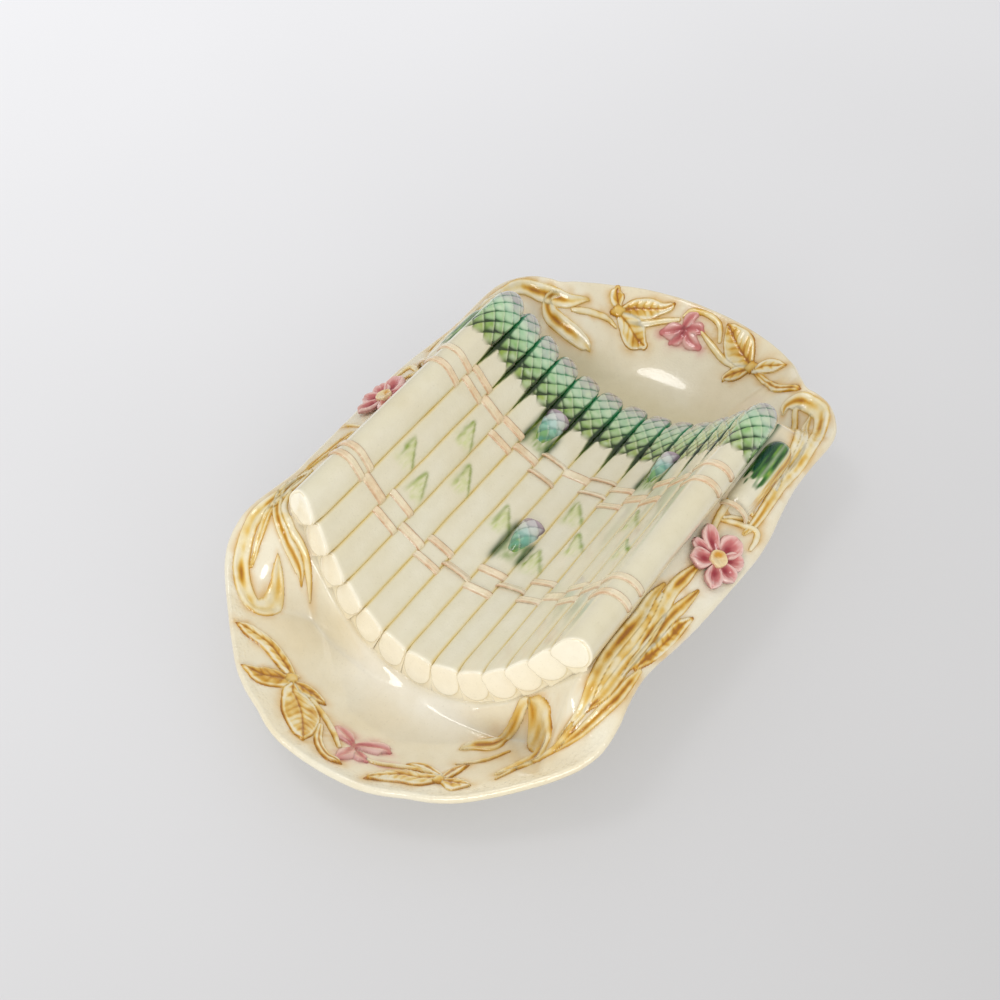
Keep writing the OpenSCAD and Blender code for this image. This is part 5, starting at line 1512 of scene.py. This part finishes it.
def petalMesh():
    # one pointed, hollowed petal along +X, painted rose in its hollow and pale at its edge
    s = flowerSettings
    rows, columns = s["petalRows"], s["petalColumns"]
    along = np.linspace(0, 1, rows)
    outline = np.interp(along, s["outlinePlaces"], s["outline"]) * s["width"] / 2
    v = np.sin(np.linspace(-1, 1, columns) * math.pi / 2)
    k, w = np.meshgrid(along, v, indexing="ij")
    x = s["inner"] + (s["length"] - s["inner"]) * k
    y = outline[:, None] * w
    hollow = bell(w, 0.55) * bell(k - 0.45, 0.36)
    rim = 1 - np.abs(w) ** 6
    z = s["thick"] * (0.25 + 0.75 * rim) * (0.72 + 0.4 * np.abs(w) - 0.62 * hollow) * np.minimum(1, (1.02 - k) / 0.1)
    z += 0.12 * np.cos(w * 16) * rim * bell(k - 0.5, 0.4)
    streak = mottle(x * 0.6, y * 3, 1.6, 3)
    dark = 0.22 + 0.8 * bell(w, 0.5) * bell(k - 0.4, 0.28) - 0.25 * bell(np.abs(w) - 0.85, 0.15) \
        + 0.35 * (streak - 0.5) + 0.6 * ease((0.22 - k) / 0.12)
    tint = layered(pinkTone(dark), ((150, 62, 70), bell(np.abs(w) - 1, 0.05) * 0.6)).reshape(-1, 3)
    upper = np.stack([x.ravel(), y.ravel(), z.ravel()], -1)
    lower = upper * [1, 1, 0] - [0, 0, 0.6]
    count = len(upper)
    quads = gridFaces(rows, columns)
    faces = quads + [tuple(q + count for q in f[::-1]) for f in quads]
    loop = borderLoop(rows, columns)
    faces += [(a, a + count, b + count, b) for a, b in zip(loop, loop[1:] + loop[:1])]
    return makeMesh("petal", np.vstack([upper, lower]), faces, np.vstack([tint, tint]))


def ontoFlank(points, side):
    # from the flower's own plane to the flank of the plate
    s = flowerSettings
    lean = radians(plateShape["flankAngle"])
    x, y, z = points.T
    baseZ = crest[1] - (s["y"] - crest[0]) * math.tan(lean)
    wy = s["y"] * side + y * math.cos(lean) + z * math.sin(lean) * side
    wz = baseZ - y * math.sin(lean) * side + z * math.cos(lean) + 0.5
    return np.stack([s["x"] + x, wy, wz], -1)


def settleOnSpear(points, side, clear):
    # what reaches the outermost spear lies against it
    y, z = points[:, 1] * side - axes[6][0], points[:, 2] - axes[6][1]
    d = np.hypot(y, z)
    wanted = plateShape["spearRadius"] + clear
    push = np.where(d < wanted, wanted / np.maximum(d, 1), 1)
    return np.column_stack([points[:, 0], (axes[6][0] + y * push) * side, axes[6][1] + z * push])


def makePetals(name, side):
    # the ring of petals, laid on the flank and kept inside the reach of its node
    ring = grown(petalPoints(), petalTree, {"Petal": petalObject, "Tilt": flowerSettings["tilt"]},
                 glazes["pink_glaze"])
    flat = meshPoints(ring)
    placed = ontoFlank(flat * [1, side, 1], side)
    placed = settleOnSpear(placed, side, 0.3 + np.clip(flat[:, 2], 0, 3) * 0.8)
    low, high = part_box(name)
    reach = high.y * 1000 if side > 0 else -low.y * 1000
    placed[:, 1] = np.clip(placed[:, 1] * side, None, reach) * side
    ring.vertices.foreach_set("co", (placed * 0.001).ravel())
    ring.polygons.foreach_set("use_smooth", np.ones(len(ring.polygons), bool))
    if side < 0:
        ring.flip_normals()
    ring.update()
    return ring


def makeEye(name, side):
    # a low trumpet with a creased rim and an amber throat
    s = flowerSettings
    rows, around = s["eyeRows"], s["eyeAround"]
    turns = np.linspace(0, 2 * math.pi, around, endpoint=False)
    k, turn = np.meshgrid(np.linspace(0.04, 1, rows), turns, indexing="ij")
    radius = s["eyeRadius"] * np.sin(np.minimum(k, 0.8) / 0.8 * math.pi / 2)
    radius = radius * (1 + 0.03 * np.cos(5 * turn) * ease(k / 0.5))
    height = s["eyeHeight"] * (1 - ease((k - 0.55) / 0.45)) - 1.1 * bell(k, 0.28) \
        + 0.12 * np.cos(9 * turn) * bell(k - 0.4, 0.15)
    height = np.maximum(height, -0.4)
    x, y = radius * np.cos(turn), radius * np.sin(turn)
    throat = bell(k - 0.25, 0.22) * ease((np.cos(turn + 0.9 * side) + 0.4) / 1.2)
    tint = layered(linear((240, 222, 178)), ((214, 156, 48), throat + 0.3 * (mottle(x, y, 1.4, 6) - 0.3)),
                   ((150, 40, 48), ease((k - 0.7) / 0.2) * 0.85))
    grid = ontoFlank(np.stack([x.ravel(), y.ravel(), height.ravel()], -1), side).reshape(rows, around, 3)
    return tubeMesh(name, grid, ontoFlank(np.array([[0, 0, height[0].mean()], [0, 0, -0.5]]), side), tint)


petalObject = bpy.data.objects.new("petal", petalMesh())
bpy.context.scene.collection.objects.link(petalObject)
for side, label in ((1, "left"), (-1, "right")):
    name = "flower_" + label
    addPiece(name, makePetals(name, side), "pink_glaze")
    addPiece(name + "_eye", makeEye(name + "_eye", side), "yellow_glaze")
bpy.data.objects.remove(petalObject)
print("flowers made")

# ---------------------------------------------------------------- the foot ring keeps its CAD shape
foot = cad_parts["foot_ring"]
foot.data.materials.clear()
foot.data.materials.append(glaze("footGlaze", warm=0.2, cloud=0.1, tint=paint["cream"]))

# ---------------------------------------------------------------- floor, light
stageSettings = {
    "bright": (238, 238, 240), "dim": (184, 183, 182), "floorSize": 3.2, "floorRoughness": 0.7,
    "floorShade": (0.62, 0.62, 0.62), "floorGlow": 0.43,
    "drift": 0.3, "far": -0.66, "near": 0.76, "cloudScale": 2.2, "cloud": 0.04,
    "backdrop": (0.99, 0.99, 1.0, 1), "world": 0.92, "reflected": 0.36,
    # place, target, size, power, colour
    "lamps": {
        "window": ((-1.6, -0.95, 0.75), (0, 0, 0.03), (1.0, 0.6), 9.5, (1, 0.985, 0.97)),
        "overhead": ((-0.35, 0.45, 1.8), (0, 0, 0), (0.5, 0.5), 3.2, (1, 0.99, 0.98)),
        "lowWindow": ((-1.6, 1.0, 0.42), (-0.12, 0, 0.03), (0.45, 0.16), 1.6, (1, 1, 1)),
    },
}


def floorMaterial():
    # a pale floor with painted shading that darkens from side to side, standing in for light falling off; it gives off
    # most of its own light
    s = stageSettings
    material = bpy.data.materials.new("paleFloor")
    material.use_nodes = True
    tree = material.node_tree
    place = node(tree, "ShaderNodeTexCoord").outputs["Object"]
    apart = node(tree, "ShaderNodeSeparateXYZ", {0: place}).outputs
    across = maths(tree, "ADD", apart["Y"], maths(tree, "MULTIPLY", apart["X"], s["drift"]))
    cloudy = span(tree, noise(tree, place, s["cloudScale"], 2), 0.3, 0.7, -s["cloud"], s["cloud"])
    share = maths(tree, "ADD", span(tree, across, s["far"], s["near"]), cloudy, True)
    colour = mixColour(tree, share, linear(s["dim"]), linear(s["bright"]))
    shader = tree.nodes["Principled BSDF"]
    for label, value in {"Base Color": mixColour(tree, 1.0, colour, s["floorShade"], "MULTIPLY"),
                         "Emission Color": colour, "Emission Strength": s["floorGlow"],
                         "Roughness": s["floorRoughness"]}.items():
        feed(tree, shader.inputs[label], value)
    return material


floorMesh = bpy.data.meshes.new("floor")
half = stageSettings["floorSize"]
floorMesh.from_pydata([(-half, -half, 0), (half, -half, 0), (half, half, 0), (-half, half, 0)], [], [(0, 1, 2, 3)])
floorMesh.materials.append(floorMaterial())
floor = bpy.data.objects.new("floor", floorMesh)
bpy.context.scene.collection.objects.link(floor)

# the world is darker where the glaze mirrors it
world = bpy.data.worlds.new("studio")
bpy.context.scene.world = world
world.use_nodes = True
worldTree = world.node_tree
mirrored = node(worldTree, "ShaderNodeLightPath").outputs["Is Glossy Ray"]
strength = span(worldTree, mirrored, 0.0, 1.0, stageSettings["world"], stageSettings["reflected"])
feed(worldTree, worldTree.nodes["Background"].inputs["Color"], stageSettings["backdrop"])
feed(worldTree, worldTree.nodes["Background"].inputs["Strength"], strength)

for name, (place, target, size, power, colour) in stageSettings["lamps"].items():
    data = bpy.data.lights.new(name, "AREA")
    data.shape = "ELLIPSE"
    data.size, data.size_y = size
    data.energy = power
    data.color = colour
    lamp = bpy.data.objects.new(name, data)
    bpy.context.scene.collection.objects.link(lamp)
    lamp.location = place
    lamp.rotation_mode = "QUATERNION"
    lamp.rotation_quaternion = (Vector(target) - Vector(place)).to_track_quat("-Z", "Y")

bpy.context.scene.view_settings.view_transform = "Standard"
print("stage ready")
